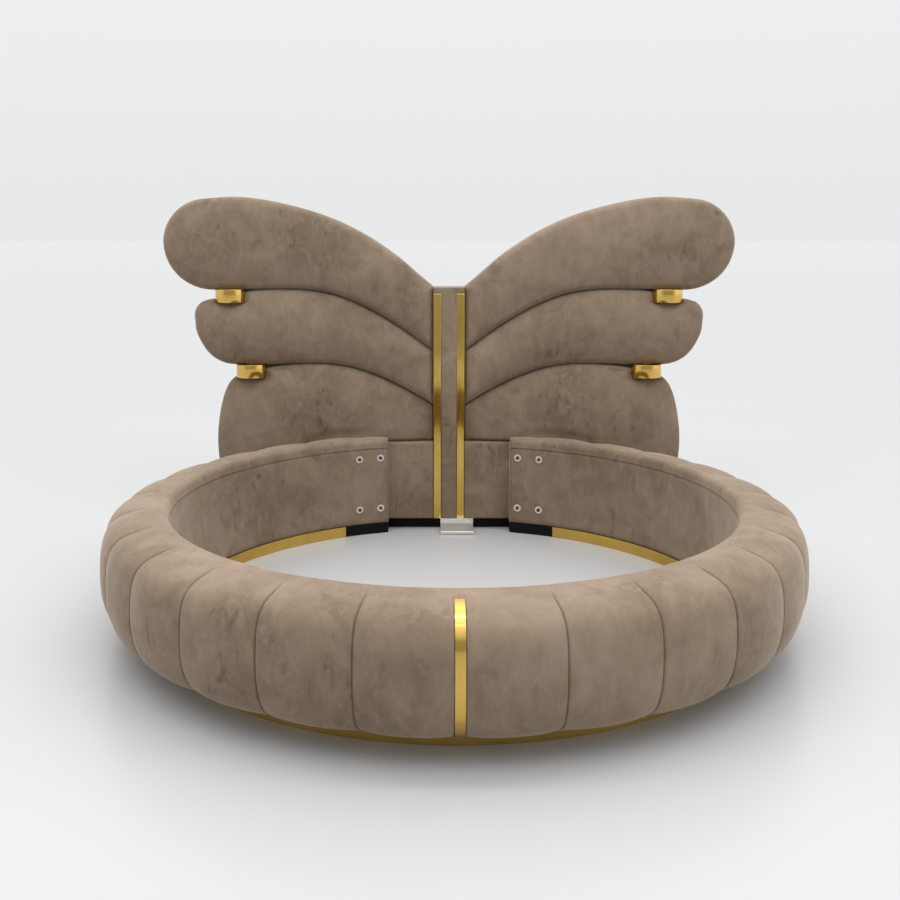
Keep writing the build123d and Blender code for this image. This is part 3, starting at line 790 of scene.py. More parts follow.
@dataclass
class RingRails:
    """The two upholstered half rings: channelled pads, inner covers, strip and base bands."""

    well: float = 1.0
    width: float = 0.226
    height: float = 0.432
    hem: float = 0.040
    skin_shares: tuple = ((0.11, 0.995), (0.82, 0.915), (1.0, 0.585), (0.86, 0.17), (0.354, 0.0))
    foot_slope: float = 0.45
    edge_roll: float = 0.024
    edge_pulls: tuple = (0.6, 0.55)
    skin_middle: tuple = (0.11, 0.2)
    skin_steps: int = 11

    pitch: float = math.radians(13.2)
    channel_steps: int = 44
    crowding: float = 0.11
    seam_depth: float = 0.014
    seam_start: tuple = (0.062, 0.150)
    seam_fade: float = 0.07
    # width and strength of the painted shade along each seam
    seam_shade_width: float = 0.0024
    seam_shade: float = 0.85
    pillow: float = 0.009
    pillow_power: float = 2.6
    groove: float = 0.0040
    groove_width: float = 0.0032
    tuck: float = 0.0030
    tuck_waves: tuple = (260.0, 31.0, 2.4)
    tuck_rise: float = 0.012
    tuck_fall: tuple = (0.02, 0.085)
    tuck_aside: tuple = (0.05, 0.34)
    tuck_rest: float = 0.25
    slack_depth: float = 0.0016
    slack_base: float = 0.0009
    slack_start: float = 0.05

    seat_gap: float = 0.0003
    front_gap: float = 0.0002
    base_outside: float = 0.0903
    base_top: float = 0.0647
    frame_outside: float = 0.1103
    frame_top: float = 0.4123
    plinth_height: float = 0.047
    plinth_width: float = 0.043
    lap_end: float = 0.275
    lap_roll: float = 0.009
    end_probe: float = 0.05
    end_overrun: float = 0.03
    back_cut: float = 0.9
    side_cut: float = 0.5

    cover: float = 0.008
    cover_rows: int = 30
    cover_steps: int = 300
    cover_rolls: tuple = (0.004, 0.005, 0.007)
    cover_slack: float = 0.0010
    seam_drop: float = 0.042
    strip_width: float = 0.028
    strip_thickness: float = 0.003
    strip_steps: int = 14
    strip_edge: float = 0.0005
    bed_edge: float = 0.0035
    bed_slope: float = 0.0025
    bed_play: float = 0.0006
    band_thickness: float = 0.0012
    band_play: float = 0.0004
    band_edge_gap: float = 0.001
    band_end: float = 0.460
    band_overrun: float = 0.02
    band_steps: int = 260
    end_wrap_inset: float = 0.0035
    end_wrap_top: float = 0.4135
    end_wrap_thickness: float = 0.0009

    def skin(self, drawn_in: float, steps: int) -> list[Vector]:
        """The outer line of the section, from the seam in the well over the bulge to the hem.

        Args:
            drawn_in: how far a seam draws it in.
            steps: points on each stretch.

        Returns:
            Points as (radius, 0, height).
        """
        width = self.width - drawn_in
        height = self.height - drawn_in / 2
        points = [Vector((self.well + across * width, 0.0, self.hem + up * (height - self.hem)))
                  for across, up in self.skin_shares]
        corner = Vector((self.well, 0.0, height - self.edge_roll))
        rise, reach = (self.edge_roll * pull for pull in self.edge_pulls)
        roll = geometry.interpolate_bezier(corner, corner + Vector((0.0, 0.0, rise)),
                                           points[0] - Vector((reach, 0.0, 0.0)), points[0], steps)
        foot = Vector((-1.0, 0.0, -self.foot_slope))
        return roll[:-1] + curve_through(points, Vector((1.0, 0.0, 0.0)), foot, steps)

    def inward(self, skin: Sequence[Vector], index: int, radius: float, height: float) -> Vector:
        """The direction into the pad, square to its skin.

        Args:
            skin: the outer line of the section.
            index: the point's place in it.
            radius: distance from the ring's centre.
            height: above the floor.

        Returns:
            The direction as (radius, 0, height).
        """
        along = (skin[min(index + 1, len(skin) - 1)] - skin[max(index - 1, 0)]).normalized()
        across = Vector((-along.z, 0.0, along.x))
        middle, up = self.skin_middle
        outward = Vector((radius - self.well - middle, 0.0, height - up))
        return -across if across.dot(outward) > 0 else across

    def channel_draw(self, azimuth: float, radius: float) -> float:
        """How far the upholstery is drawn in at an angle.

        Args:
            azimuth: angle from the front of the ring.
            radius: distance from the ring's centre.

        Returns:
            The depth below the full bulge.
        """
        share = azimuth / self.pitch
        distance = abs(share - round(share)) * self.pitch * radius
        half = self.pitch * radius / 2
        depth = self.pillow * max(0.0, 1.0 - distance / half) ** self.pillow_power
        depth += self.groove * math.exp(-((distance / self.groove_width) ** 2))
        if round(share) == 0:
            bed = smooth_step(self.strip_width / 2 + self.bed_edge - distance, 0.0, self.bed_slope)
            depth = max(depth, bed * (self.seam_depth + self.bed_play))
        return depth

    def gathers(self, azimuth: float, radius: float, left: float) -> float:
        """Small tucks above the hem, strongest beside the seams.

        Args:
            azimuth: angle from the front of the ring.
            radius: distance from the ring's centre.
            left: length of skin down to the hem.

        Returns:
            The depth of the tuck.
        """
        share = azimuth / self.pitch
        near = 1.0 - smooth_step(abs(share - round(share)), *self.tuck_aside)
        arc = azimuth * radius
        fine, slow, sway = self.tuck_waves
        wave = math.sin(arc * fine + sway * math.sin(arc * slow)) * 0.5 + 0.5
        fade = smooth_step(left, 0.0, self.tuck_rise) * (1.0 - smooth_step(left, *self.tuck_fall))
        return self.tuck * wave ** 2 * fade * (self.tuck_rest + (1.0 - self.tuck_rest) * near)

    def slack(self, azimuth: float, run: float) -> float:
        """Soft unevenness of the stuffing.

        Args:
            azimuth: angle from the front of the ring.
            run: length of skin from the seam in the well.

        Returns:
            The depth.
        """
        spot = Vector((azimuth * 7.0, run * 6.0, 1.7))
        wave = noise.noise(spot) + 0.5 * noise.noise(spot * 2.7)
        return self.slack_depth * wave * smooth_step(run, 0.0, self.slack_start) + self.slack_base

    def pad(self) -> bmesh.types.BMesh:
        """Channelled upholstery of the right rail.

        Returns:
            The mesh, closed and in place.
        """
        skin = self.skin(0.0, self.skin_steps)
        low, foot, top = self.plinth_height, self.base_top, self.frame_top
        inside = self.well + self.cover + self.seat_gap
        narrow, wide = self.well + self.base_outside, self.well + self.frame_outside
        seam = self.height - self.seam_drop
        inner = [(skin[-1].x, low), (narrow, low), (narrow, foot), (wide, foot), (wide, top),
                 (inside, top), (inside, seam), (self.well, seam)]
        section = skin + [Vector((radius, 0.0, up)) for radius, up in inner]
        end = self.end_angle()
        mesh = spun(section, self.front_gap, end, round(end / self.pitch * self.channel_steps))
        place = mesh.verts.layers.int["place"]
        # the attribute "seam" holds the weight of painted shade along each seam
        line = mesh.verts.layers.float.new("seam")
        lengths = [0.0]
        for before, after in zip(skin, skin[1:]):
            lengths.append(lengths[-1] + (after - before).length)
        for vert in mesh.verts:
            index = vert[place]
            share = math.atan2(vert.co.x, -vert.co.y) / self.pitch
            share -= self.crowding * math.sin(2 * math.pi * share)
            azimuth = max(share * self.pitch, self.front_gap)
            radius = math.hypot(vert.co.x, vert.co.y)
            height = vert.co.z
            if index < len(skin):
                inward = self.inward(skin, index, radius, height)
                run, left = lengths[index], lengths[-1] - lengths[index]
                reach = smooth_step(run, *self.seam_start)
                aside = abs(azimuth / self.pitch - round(azimuth / self.pitch)) * self.pitch * radius
                # painted shade along the seam, fading in where the seam starts
                vert[line] = self.seam_shade * reach * math.exp(-((aside / self.seam_shade_width) ** 2))
                draw = self.channel_draw(azimuth, radius) * (reach * smooth_step(left, 0.0, self.seam_fade))
                draw += self.gathers(azimuth, radius, left) + self.slack(azimuth, run)
                radius += inward.x * draw
                height += inward.z * draw
                if azimuth > math.pi / 2:
                    fall = rolled(radius * math.sin(azimuth) - self.lap_end, self.lap_roll)
                    radius += inward.x * fall
                    height += inward.z * fall
            vert.co = Vector((radius * math.sin(azimuth), -radius * math.cos(azimuth), height))
        return self.finish_rail(mesh)

    def end_angle(self) -> float:
        """An angle just past the rail's end, from the front of the ring."""
        return math.pi - math.asin(self.lap_end / (self.well + self.end_probe)) + self.end_overrun

    def finish_rail(self, mesh: bmesh.types.BMesh) -> bmesh.types.BMesh:
        """Cut a piece of the rail at the headboard's plane and at the lap's end.

        Args:
            mesh: the piece, centred on the ring.

        Returns:
            The piece, closed and in place.
        """
        back = FRONT_PLANE - RING_CENTRE.y - self.seat_gap
        cut(mesh, Vector((0.0, back, 0.0)), Vector((0.0, 1.0, 0.0)), self.back_cut)
        return self.finish_end(mesh, self.lap_end)

    def finish_end(self, mesh: bmesh.types.BMesh, across: float) -> bmesh.types.BMesh:
        """Cut a piece off at a distance from the bed's middle, close it and set it in place.

        Args:
            mesh: the piece, centred on the ring.
            across: the distance.

        Returns:
            The piece, closed and in place.
        """
        cut(mesh, Vector((across, 0.0, 0.0)), Vector((-1.0, 0.0, 0.0)), self.side_cut)
        close_ends(mesh)
        bmesh.ops.translate(mesh, vec=RING_CENTRE, verts=mesh.verts)
        return mesh

    def top_at(self, across: float) -> float:
        """Height of the rail's top behind the headboard's front plane.

        Args:
            across: distance from the middle of the bed.

        Returns:
            The height there, or 0 beyond the rail.
        """
        radius = math.hypot(across, FRONT_PLANE - RING_CENTRE.y)
        skin = self.skin(0.0, self.skin_steps)
        for before, after in zip(skin, skin[1:]):
            if before.x <= radius < after.x:
                share = (radius - before.x) / (after.x - before.x)
                return before.z + (after.z - before.z) * share
        return 0.0

    def inner_cover(self) -> bmesh.types.BMesh:
        """Velvet on the wall of the well, puffed between its bolts.

        Returns:
            The mesh, closed and in place.
        """
        low, top = self.plinth_height, self.height - self.seam_drop - self.seat_gap
        face, back = self.well, self.well + self.cover
        rows = self.cover_rows
        section = [Vector((face, 0.0, low + (top - low) * row / rows)) for row in range(rows + 1)]
        section += [Vector((back, 0.0, top)), Vector((back, 0.0, low))]
        mesh = spun(section, self.front_gap, self.end_angle(), self.cover_steps)
        place = mesh.verts.layers.int["place"]
        at_top, at_foot, at_end = self.cover_rolls
        for vert in mesh.verts:
            if vert[place] > rows:
                continue
            azimuth = math.atan2(vert.co.x, -vert.co.y)
            lap = vert.co.x - self.lap_end if azimuth > math.pi / 2 else self.well
            fall = rolled(top - vert.co.z, at_top) + rolled(vert.co.z - low, at_foot) + rolled(lap, at_end)
            spot = Vector((azimuth * 8.0, vert.co.z * 7.0, 4.2))
            fall += self.cover_slack + self.cover_slack * noise.noise(spot)
            vert.co.x += math.sin(azimuth) * fall
            vert.co.y -= math.cos(azimuth) * fall
        return self.finish_rail(mesh)

    def strip(self) -> bmesh.types.BMesh:
        """Bent brass strip over the front joint, with eased edges.

        Returns:
            The mesh, in place.
        """
        path = self.skin(self.seam_depth, self.strip_steps)
        outer = self.skin(self.seam_depth - self.strip_thickness, self.strip_steps)
        start = self.height - self.seam_depth / 2 - self.edge_roll / 2
        first = next(index for index, spot in enumerate(path) if spot.z > start)
        section = outer[first:] + list(reversed(path[first:]))
        half = self.strip_width / 2
        mesh = bmesh.new()
        face = mesh.faces.new([mesh.verts.new((-half, -spot.x, spot.z)) for spot in section])
        result = bmesh.ops.extrude_face_region(mesh, geom=[face])
        moved = [item for item in result["geom"] if isinstance(item, bmesh.types.BMVert)]
        bmesh.ops.translate(mesh, vec=Vector((self.strip_width, 0.0, 0.0)), verts=moved)
        bmesh.ops.recalc_face_normals(mesh, faces=mesh.faces)
        ease(mesh, self.strip_edge, 2)
        bmesh.ops.translate(mesh, vec=RING_CENTRE, verts=mesh.verts)
        return mesh

    def band(self, inside: float) -> bmesh.types.BMesh:
        """Thin brass band on one face of the right plinth.

        Args:
            inside: the ring's centre to the band's inner face.

        Returns:
            The mesh, closed and in place.
        """
        low, high = self.band_edge_gap, self.plinth_height - self.band_edge_gap
        outside = inside + self.band_thickness
        corners = [(inside, low), (outside, low), (outside, high), (inside, high)]
        end = math.pi - math.asin(self.band_end / outside) + self.band_overrun
        mesh = spun([Vector((radius, 0.0, up)) for radius, up in corners], self.front_gap, end,
                    self.band_steps)
        return self.finish_end(mesh, self.band_end)

    def end_wrap_size(self) -> tuple[float, float]:
        """Width and height of the velvet on a rail's end.

        Returns:
            The width across the rail's end and the height from the plinth up.
        """
        wall = RING_CENTRE.y + math.sqrt(self.well ** 2 - self.lap_end ** 2)
        low = self.plinth_height + self.seat_gap
        return FRONT_PLANE - self.seat_gap - wall - self.end_wrap_inset, self.end_wrap_top - low

    def end_wrap(self) -> bmesh.types.BMesh:
        """Velvet over the end of the right rail, where it stops beside the lower panel.

        Returns:
            The mesh, in place.
        """
        width, height = self.end_wrap_size()
        face = self.lap_end - self.seat_gap
        high = Vector((face, FRONT_PLANE - self.seat_gap, self.end_wrap_top))
        low = Vector((face - self.end_wrap_thickness, high.y - width, high.z - height))
        return block(low, high, self.end_wrap_thickness / 4, 1)

    def build(self) -> None:
        """Make every piece of the two rails."""
        outer = self.well + self.band_thickness + self.plinth_width + self.band_play
        makers = {
            "rail_pad": (self.pad, "velvet", 0.9),
            "rail_inner_cover": (self.inner_cover, "velvet", 0.8),
            "inner_base_band": (lambda: self.band(self.well), "brass", None),
            "outer_base_band": (lambda: self.band(outer), "brass", None),
        }
        for name, (make, slot, fill) in makers.items():
            dress_pair(make(), name, slot)
        piece(self.strip(), "front_strip_dressed", "brass", ["front_strip"])
        for side, mesh in pair(self.end_wrap()):
            wrap = piece(mesh, f"{side.word}_lap_end_wrap", "velvet", smooth=False)


class Lobe(Enum):
    """The three lobes of a wing."""

    UPPER = "upper"
    MIDDLE = "middle"
    LOWER = "lower"


@dataclass
class Wings:
    """Six padded wing lobes with rolled edges, pressed against each other along their creases."""

    rails: RingRails
    voxel: float = 0.0065
    smoothings: int = 4
    back: float = FRONT_PLANE + 0.110
    depth: float = 0.122
    rear_share: float = 0.05
    front_normal: float = -0.2
    proud: float = 0.012
    roll: float = 0.045
    roll_share: float = 0.62
    fall: float = 0.015
    fall_reach: float = 0.130
    slack: tuple = (0.0015, 0.0009)
    slack_scale: float = 7.0
    slack_base: float = 0.002
    wall_line: float = FRONT_PLANE + 0.040
    probe: float = FRONT_PLANE + 0.060
    wall_normal: float = 0.3
    flat_play: float = 0.004
    lap_end: float = 0.275
    lap_play: float = 0.02
    room_edge: float = 0.716
    room_top: float = 0.436
    rest: float = 0.0015
    foot: float = 0.402
    foot_play: float = 0.002
    foot_roll: float = 0.018
    lip_start: tuple = (0.52, 0.62)
    lip_front: tuple = (0.004, 0.011)
    lip_reach: float = 0.110
    lip_drop: float = 0.085
    lip_below: float = -0.05
    recede: tuple = (0.003, 0.052)
    welt_seam: float = 0.013
    welt_depth: float = 0.002
    welt_width: float = 0.005
    # strength and width of the painted shade along the welt's seam
    welt_shade: float = 0.6
    welt_shade_width: float = 0.004
    crown_place: tuple = (0.5772, 0.4835)
    crown_radius: float = 2.42
    tip: tuple = ((1.133, 0.900, 0.055, 0.006), (1.152, 0.962, 0.030, -0.004))
    tip_lift: float = 0.35
    free_front: float = 0.55
    held: float = 0.012
    swell: float = 0.008
    frame_cover: float = 0.002
    facing_inward: float = 0.84
    facing_top: float = 0.28
    facing_rear: float = 0.100
    facing_gap: float = 0.0002
    facing_thickness: float = 0.0008

    def outline_walls(self, mesh: bmesh.types.BMesh) -> BVHTree:
        """The side walls of a pad's solid, for distances to its outline.

        Args:
            mesh: the solid.

        Returns:
            A tree of the walls.
        """
        verts = [vert.co.copy() for vert in mesh.verts]
        walls = []
        for face in mesh.faces:
            depths = [vert.co.y for vert in face.verts]
            reaches = min(depths) < self.wall_line and max(depths) > FRONT_PLANE + 2 * MM
            if reaches and abs(face.normal.y) < self.wall_normal:
                walls.append([vert.index for vert in face.verts])
        return BVHTree.FromPolygons(verts, walls)

    def fill_room(self, mesh: bmesh.types.BMesh) -> None:
        """Bring the lower pad's flat behind the rail out to its crown."""
        for vert in mesh.verts:
            flat = vert.co.y < FRONT_PLANE + self.flat_play and vert.co.z < self.room_top + self.voxel
            if flat and vert.co.x < self.room_edge + self.voxel:
                aside = math.hypot(vert.co.x - self.crown_place[0], vert.co.z - self.crown_place[1])
                vert.co.y = FRONT_PLANE - self.proud + aside ** 2 / (2 * self.crown_radius)

    def clear_rail(self, place: Vector) -> float:
        """Where the lower pad's front lies beside and above the rail.

        Args:
            place: a point of the pad's front.

        Returns:
            Its place from front to back, drawn back softly towards the rail's top.
        """
        if place.x > self.room_edge:
            return place.y
        over_rail = place.x > self.lap_end - self.lap_play
        top = self.rails.top_at(place.x) if over_rail else self.foot - self.lap_play
        near, far = self.recede
        clear = smooth_step(place.z, top + near, top + far)
        rest = FRONT_PLANE + self.rest
        return place.y + max(rest - place.y, 0.0) * (1.0 - clear)

    def lip(self, across: float) -> float:
        """How much of the lip the lower pad has over its panel, from 0 to 1."""
        return smooth_step(across, *self.lip_start)

    def hang_lip(self, vert: bmesh.types.BMVert) -> None:
        """Bring the lower pad's front down to the rail where the rail's top falls away.

        Args:
            vert: a vertex of the lobe.
        """
        above = (vert.co.z - self.foot) / self.lip_reach
        if vert.co.x < self.room_edge and self.lip_below < above < 1.0:
            near, far = self.lip_front
            front = 1.0 - smooth_step(vert.co.y, FRONT_PLANE + near, FRONT_PLANE + far)
            vert.co.z -= self.lip_drop * self.lip(vert.co.x) * front * (1.0 - max(above, 0.0)) ** 2

    def round_tip(self, vert: bmesh.types.BMVert) -> None:
        """Ease the middle lobe's tip into a rounder outline.

        Args:
            vert: a vertex of the lobe.
        """
        for across, height, reach, move in self.tip:
            away = ((vert.co.x - across) ** 2 + (vert.co.z - height) ** 2) / reach ** 2
            vert.co.x += move * math.exp(-away)
            vert.co.z -= self.tip_lift * move * math.exp(-away)

    def push(self, lobe: Lobe, hit: Vector, distance: float) -> float:
        """How far a pad's front falls away towards its edge.

        Args:
            lobe: which lobe.
            hit: the nearest point of its outline.
            distance: from the point of the front to it.

        Returns:
            The distance to move it back.
        """
        if lobe is Lobe.LOWER and hit.z < self.foot + self.foot_play and hit.x < self.room_edge:
            return rolled(distance, self.foot_roll) * self.roll_share * (1.0 - self.lip(hit.x))
        share = max(0.0, 1.0 - distance / self.fall_reach)
        return rolled(distance, self.roll) * self.roll_share + self.fall * share ** 2

    def cover_frame(self, lobe: Lobe, facing: Iterable[bmesh.types.BMVert]) -> None:
        """Keep a pad's front clear of the frame inside it.

        Args:
            lobe: which lobe.
            facing: the vertices of its front.
        """
        inside = cad_copy(f"right_{lobe.value}_wing_frame")
        tree = BVHTree.FromBMesh(inside)
        inside.free()
        reach = self.voxel
        around = ((0.0, 0.0), (reach, 0.0), (-reach, 0.0), (0.0, reach), (0.0, -reach))
        for vert in facing:
            for across, up in around:
                start = Vector((vert.co.x + across, FRONT_PLANE - self.depth, vert.co.z + up))
                hit = tree.ray_cast(start, Vector((0.0, 1.0, 0.0)))[0]
                if hit:
                    vert.co.y = min(vert.co.y, hit.y - self.frame_cover)

    def blank(self, lobe: Lobe) -> tuple[bmesh.types.BMesh, BVHTree]:
        """A lobe's solid as an even net with a smooth front.

        Args:
            lobe: which one.

        Returns:
            The net, and the walls of the solid's outline.
        """
        solid = cad_copy(f"right_{lobe.value}_wing_pad")
        solid.normal_update()
        solid.verts.index_update()
        walls = self.outline_walls(solid)
        mesh = even_net(solid, self.voxel)
        solid.free()
        if lobe is Lobe.LOWER:
            self.fill_room(mesh)
        for _ in range(self.smoothings):
            fronts = [vert for vert in mesh.verts if vert.co.y < self.probe]
            bmesh.ops.smooth_vert(mesh, verts=fronts, factor=0.5, use_axis_x=False,
                                  use_axis_y=True, use_axis_z=False)
        mesh.normal_update()
        return mesh, walls

    def lobe(self, lobe: Lobe) -> bmesh.types.BMesh:
        """One right lobe: the solid's outline and crown, with plump rolled edges.

        Args:
            lobe: which one.

        Returns:
            The mesh.
        """
        mesh, walls = self.blank(lobe)
        # the attribute "seam" holds the weight of painted shade along the welt's seam
        line = mesh.verts.layers.float.new("seam")
        facing = [vert for vert in mesh.verts if vert.normal.y < self.front_normal]
        loose = {}
        for vert in mesh.verts:
            front = (self.back - vert.co.y) / self.depth
            if front < self.rear_share:
                continue
            hit = walls.find_nearest(Vector((vert.co.x, self.probe, vert.co.z)))[0]
            distance = math.hypot(hit.x - vert.co.x, hit.z - vert.co.z)
            spot = vert.co * self.slack_scale
            slack = self.slack[0] * noise.noise(spot) + self.slack[1] * noise.noise(spot * 2.3)
            move = self.push(lobe, hit, distance)
            if lobe is Lobe.MIDDLE:
                self.round_tip(vert)
            if lobe is Lobe.LOWER and hit.x > self.room_edge:
                aside = distance - self.welt_seam
                # painted shade along the welt's seam
                vert[line] = self.welt_shade * math.exp(-((aside / self.welt_shade_width) ** 2))
                move += self.welt_depth * math.exp(-((aside / self.welt_width) ** 2))
            vert.co.y += (move + slack + self.slack_base) * front
            if front > self.free_front:
                loose[vert] = smooth_step(distance, self.held, 3 * self.held)
        puffed(mesh, loose, self.swell)
        self.cover_frame(lobe, facing)
        if lobe is Lobe.LOWER:
            for vert in mesh.verts:
                if vert.co.y < self.wall_line:
                    self.hang_lip(vert)
                    vert.co.y = self.clear_rail(vert.co)
        return mesh

    def corner_facing(self) -> tuple[bmesh.types.BMesh, tuple[float, float]]:
        """Velvet over the lower outer corner of the lower frame, which reaches the pad's skin.

        Returns:
            The mesh and the width and height of the cloth laid flat.
        """
        mesh = cad_copy("right_lower_wing_frame")
        cut(mesh, Vector((self.facing_inward, 0.0, 0.0)), Vector((-1.0, 0.0, 0.0)))
        cut(mesh, Vector((0.0, 0.0, self.facing_top)), Vector((0.0, 0.0, 1.0)))
        cut(mesh, Vector((0.0, FRONT_PLANE + self.facing_rear, 0.0)), Vector((0.0, 1.0, 0.0)))
        area = sum(face.calc_area() for face in mesh.faces)
        heights = [vert.co.z for vert in mesh.verts]
        tall = max(heights) - min(heights)
        thicken(mesh, self.facing_gap, self.facing_thickness)
        return mesh, (area / tall, tall)

    def build(self) -> None:
        """Make the six lobes and the facings of the lower frames' corners."""
        for lobe in Lobe:
            dress_pair(self.lobe(lobe), f"{lobe.value}_wing_pad", "velvet", angle=75.0)
        right, size = self.corner_facing()
        for side, mesh in pair(right):
            cloth = piece(mesh, f"{side.word}_lower_corner_facing", "velvet")


@dataclass
class HeadboardMiddle:
    """The column between its brass strips, the lower panels, the drums and the lining."""

    strip_edge: float = 0.0025
    column_edge: float = 0.004
    column_angle: float = 50.0
    flat_angle: float = 1.0
    panel_edge: float = 0.008
    drum_edge: float = 0.002
    drum_facets: int = 96
    edge_segments: int = 3
    wrap_turn: float = 0.0052
    wrap_gap: float = 0.0002
    wrap_thickness: float = 0.0008
    facing_back: float = 0.9

    def joined(self, node: str) -> bmesh.types.BMesh:
        """A CAD node's mesh with the triangles of each flat joined.

        Args:
            node: its name.

        Returns:
            The mesh.
        """
        mesh = cad_copy(node)
        flat = math.radians(self.flat_angle)
        bmesh.ops.dissolve_limit(mesh, angle_limit=flat, verts=mesh.verts, edges=mesh.edges)
        return mesh

    def panel(self) -> bmesh.types.BMesh:
        """Right lower panel, a flat pad with soft edges.

        Returns:
            The mesh, in place.
        """
        low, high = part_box("right_lower_panel_pad")
        mesh = block(low, high, self.panel_edge, 4)
        bmesh.ops.recalc_face_normals(mesh, faces=mesh.faces)
        return mesh

    def column(self) -> bmesh.types.BMesh:
        """Crowned pad between the strips, with the brow and cap over them.

        Returns:
            The mesh, in place.
        """
        mesh = self.joined("column_pad")
        ease(mesh, self.column_edge, self.edge_segments, self.column_angle)
        bmesh.ops.recalc_face_normals(mesh, faces=mesh.faces)
        return mesh

    def upright(self) -> bmesh.types.BMesh:
        """Right brass strip."""
        low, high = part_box("right_upright_strip")
        return block(low, high, self.strip_edge, self.edge_segments)

    def drum(self, level: str) -> bmesh.types.BMesh:
        """Right brass drum of one level, with eased rims.

        Args:
            level: upper or lower.

        Returns:
            The mesh, in place.
        """
        low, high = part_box(f"right_{level}_drum")
        mesh = bmesh.new()
        radius = (high.x - low.x) / 2
        bmesh.ops.create_cone(mesh, cap_ends=True, segments=self.drum_facets, radius1=radius,
                              radius2=radius, depth=high.z - low.z)
        ease(mesh, self.drum_edge, self.edge_segments)
        bmesh.ops.translate(mesh, vec=(low + high) / 2, verts=mesh.verts)
        return mesh

    def edge_wrap(self) -> None:
        """Velvet turned over the edge of the back board and stapled under the lining's rim."""
        mesh = self.joined("back_board")
        fronts = [face for face in mesh.faces if face.normal.y < -self.facing_back]
        bmesh.ops.delete(mesh, geom=fronts, context="FACES")
        back = [face for face in mesh.faces if face.normal.y > self.facing_back]
        bmesh.ops.inset_region(mesh, faces=back, thickness=self.wrap_turn, use_even_offset=True)
        bmesh.ops.delete(mesh, geom=back, context="FACES")
        loose = [edge for edge in mesh.edges if not edge.link_faces]
        bmesh.ops.delete(mesh, geom=loose, context="EDGES")
        area = sum(face.calc_area() for face in mesh.faces)
        low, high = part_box("back_board")
        width = high.y - low.y + self.wrap_turn
        thicken(mesh, self.wrap_gap, self.wrap_thickness)
        wrap = piece(mesh, "back_edge_wrap", "velvet")
        area / width

    def lining(self) -> None:
        """Black cloth stapled over the back."""
        mesh = cad_copy("back_lining")
        area = sum(face.calc_area() for face in mesh.faces if face.normal.y > self.facing_back)
        cloth = piece(mesh, "back_lining_cloth", "lining", ["back_lining"])

    def build(self) -> None:
        """Make the pieces of the headboard's middle and back."""
        dress_pair(self.panel(), "lower_panel_pad", "velvet")
        dress_pair(self.upright(), "upright_strip", "brass")
        for level in ("upper", "lower"):
            dress_pair(self.drum(level), f"{level}_drum", "brass")
        column = piece(self.column(), "column_pad_dressed", "velvet", ["column_pad"])
        self.edge_wrap()
        self.lining()


@dataclass
class BareNodes:
    """CAD nodes whose shape is right, which get their finish."""

    browned: tuple = ("lap_bolts",)

    def build(self) -> None:
        """Dress each shown node by the slot that the record gives it."""
        slots = {part["node"]: part["material_slot"] for part in frame["record"]["subparts"]}
        for name, item in frame["nodes"].items():
            if item.hide_render:
                continue
            item.data.materials.clear()
            item.data.materials.append(material("dark_bolt" if name in self.browned else slots[name]))


@dataclass(frozen=True)
class Tube:
    """A soft rectangular lamp: where it hangs, what it faces, its size and its watts."""

    name: str
    place: tuple
    aim: tuple
    size: tuple
    power: float

    def hang(self) -> None:
        """Put the lamp into the scene."""
        data = bpy.data.lights.new(self.name, "AREA")
        data.shape = "RECTANGLE"
        data.size, data.size_y = self.size
        data.energy = self.power
        item = bpy.data.objects.new(self.name, data)
        item.location = self.place
        item.rotation_euler = (Vector(self.aim) - Vector(self.place)).to_track_quat("-Z", "Y").to_euler()
        bpy.context.scene.collection.objects.link(item)


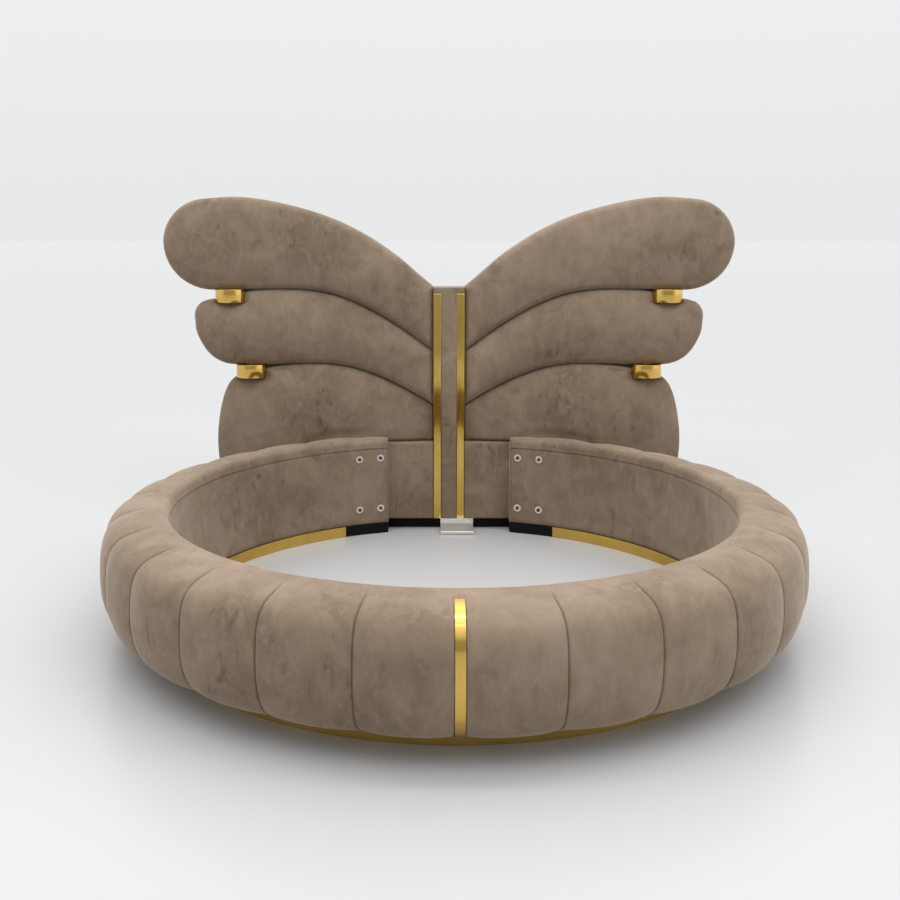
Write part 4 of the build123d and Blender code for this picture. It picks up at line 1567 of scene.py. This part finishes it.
@dataclass
class Studio:
    """Plain floor, soft light and the camera."""

    floor_size: float = 60.0
    floor_pale: tuple = (0.475, 0.476, 0.476)
    floor_dull: tuple = (0.455, 0.456, 0.456)
    floor_rough: float = 0.30
    floor_gloss: float = 0.35
    camera_place: tuple = (-0.0673, -3.8356, 1.4206)
    pitch: float = -0.0989
    lens: float = 43.788
    sensor: float = 36.0
    shift: tuple = (0.01771, -0.13828)
    air: tuple = (0.985, 0.995, 1.0, 1.0)
    backdrop: float = 0.82
    backdrop_rise: float = 0.05
    backdrop_top: float = 0.22
    ceiling: float = 1.42
    shade: float = 0.46
    front_dim: float = 0.60
    right_lift: float = 0.55
    left_lift: float = 0.15
    tubes: tuple = (Tube("near_tube", (0.0, -2.4, 3.3), (0.0, -2.4, 0.0), (4.0, 0.16), 4.0),
                    Tube("far_tube", (0.0, -0.7, 3.0), (0.0, 0.2, 0.6), (4.0, 0.30), 27.0))

    def floor(self) -> None:
        """Pale floor with a soft gloss."""
        mesh = bmesh.new()
        bmesh.ops.create_grid(mesh, x_segments=1, y_segments=1, size=self.floor_size)
        data = bpy.data.meshes.new("floor")
        mesh.to_mesh(data)
        mesh.free()
        item = bpy.data.objects.new("floor", data)
        bpy.context.scene.collection.objects.link(item)
        shader = Shader("pale_floor")
        cloud = shader.noise(0.7, 3.0)
        colour = shader.mix(cloud, self.floor_dull, self.floor_pale)
        data.materials.append(shader.finish({"Base Color": colour, "Roughness": self.floor_rough,
                                             "Specular IOR Level": self.floor_gloss}))

    def world(self) -> None:
        """Even pale surroundings under a bright soft ceiling.

        They are dimmer behind the camera and brighter at the sides, more so at the right.
        """
        world = bpy.data.worlds.new("studio")
        bpy.context.scene.world = world
        shader = Shader("studio", world)
        outward = shader.add("ShaderNodeTexCoord", output="Generated")
        across, depth, height = (shader.add("ShaderNodeSeparateXYZ", inputs={0: outward}, output=index)
                                 for index in range(3))
        forward = 0.0 - depth
        behind = forward.ramp(0.45, 0.85) * (1.0 - height.ramp(self.backdrop_top, 0.50))
        aside = across.ramp(0.42, 0.90) * self.right_lift
        aside = aside + (0.0 - across).ramp(0.42, 0.90) * self.left_lift
        overhead = height.ramp(0.30, 0.85) * (1.0 - forward.ramp(0.0, 0.7) * self.front_dim)
        level = height.ramp(0.0, self.backdrop_top) * self.backdrop_rise + self.backdrop
        level = level * (1.0 - behind * self.shade + aside) + overhead * self.ceiling
        surface = shader.add("ShaderNodeBackground", inputs={"Color": self.air, "Strength": level})
        shader.add("ShaderNodeOutputWorld", inputs={"Surface": surface})

    def camera(self) -> None:
        """The photograph's viewpoint."""
        data = bpy.data.cameras.new("camera")
        data.sensor_width = self.sensor
        data.lens = self.lens
        data.shift_x, data.shift_y = self.shift
        item = bpy.data.objects.new("camera", data)
        item.location = self.camera_place
        item.rotation_euler = (math.pi / 2 + self.pitch, 0.0, 0.0)
        bpy.context.scene.collection.objects.link(item)
        bpy.context.scene.camera = item

    def build(self) -> None:
        """Set up the stage."""
        self.camera()
        self.floor()
        self.world()
        for tube in self.tubes:
            tube.hang()
        view = bpy.context.scene.view_settings
        view.view_transform = "Standard"
        view.look = "None"
        view.exposure = 0.0


def main() -> None:
    """Build the bed and its stage."""
    logging.basicConfig(level=logging.INFO, format="%(name)s: %(message)s")
    Studio().build()
    rails = RingRails()
    rails.build()
    Wings(rails).build()
    HeadboardMiddle().build()
    BareNodes().build()


if __name__ == "__main__":
    main()
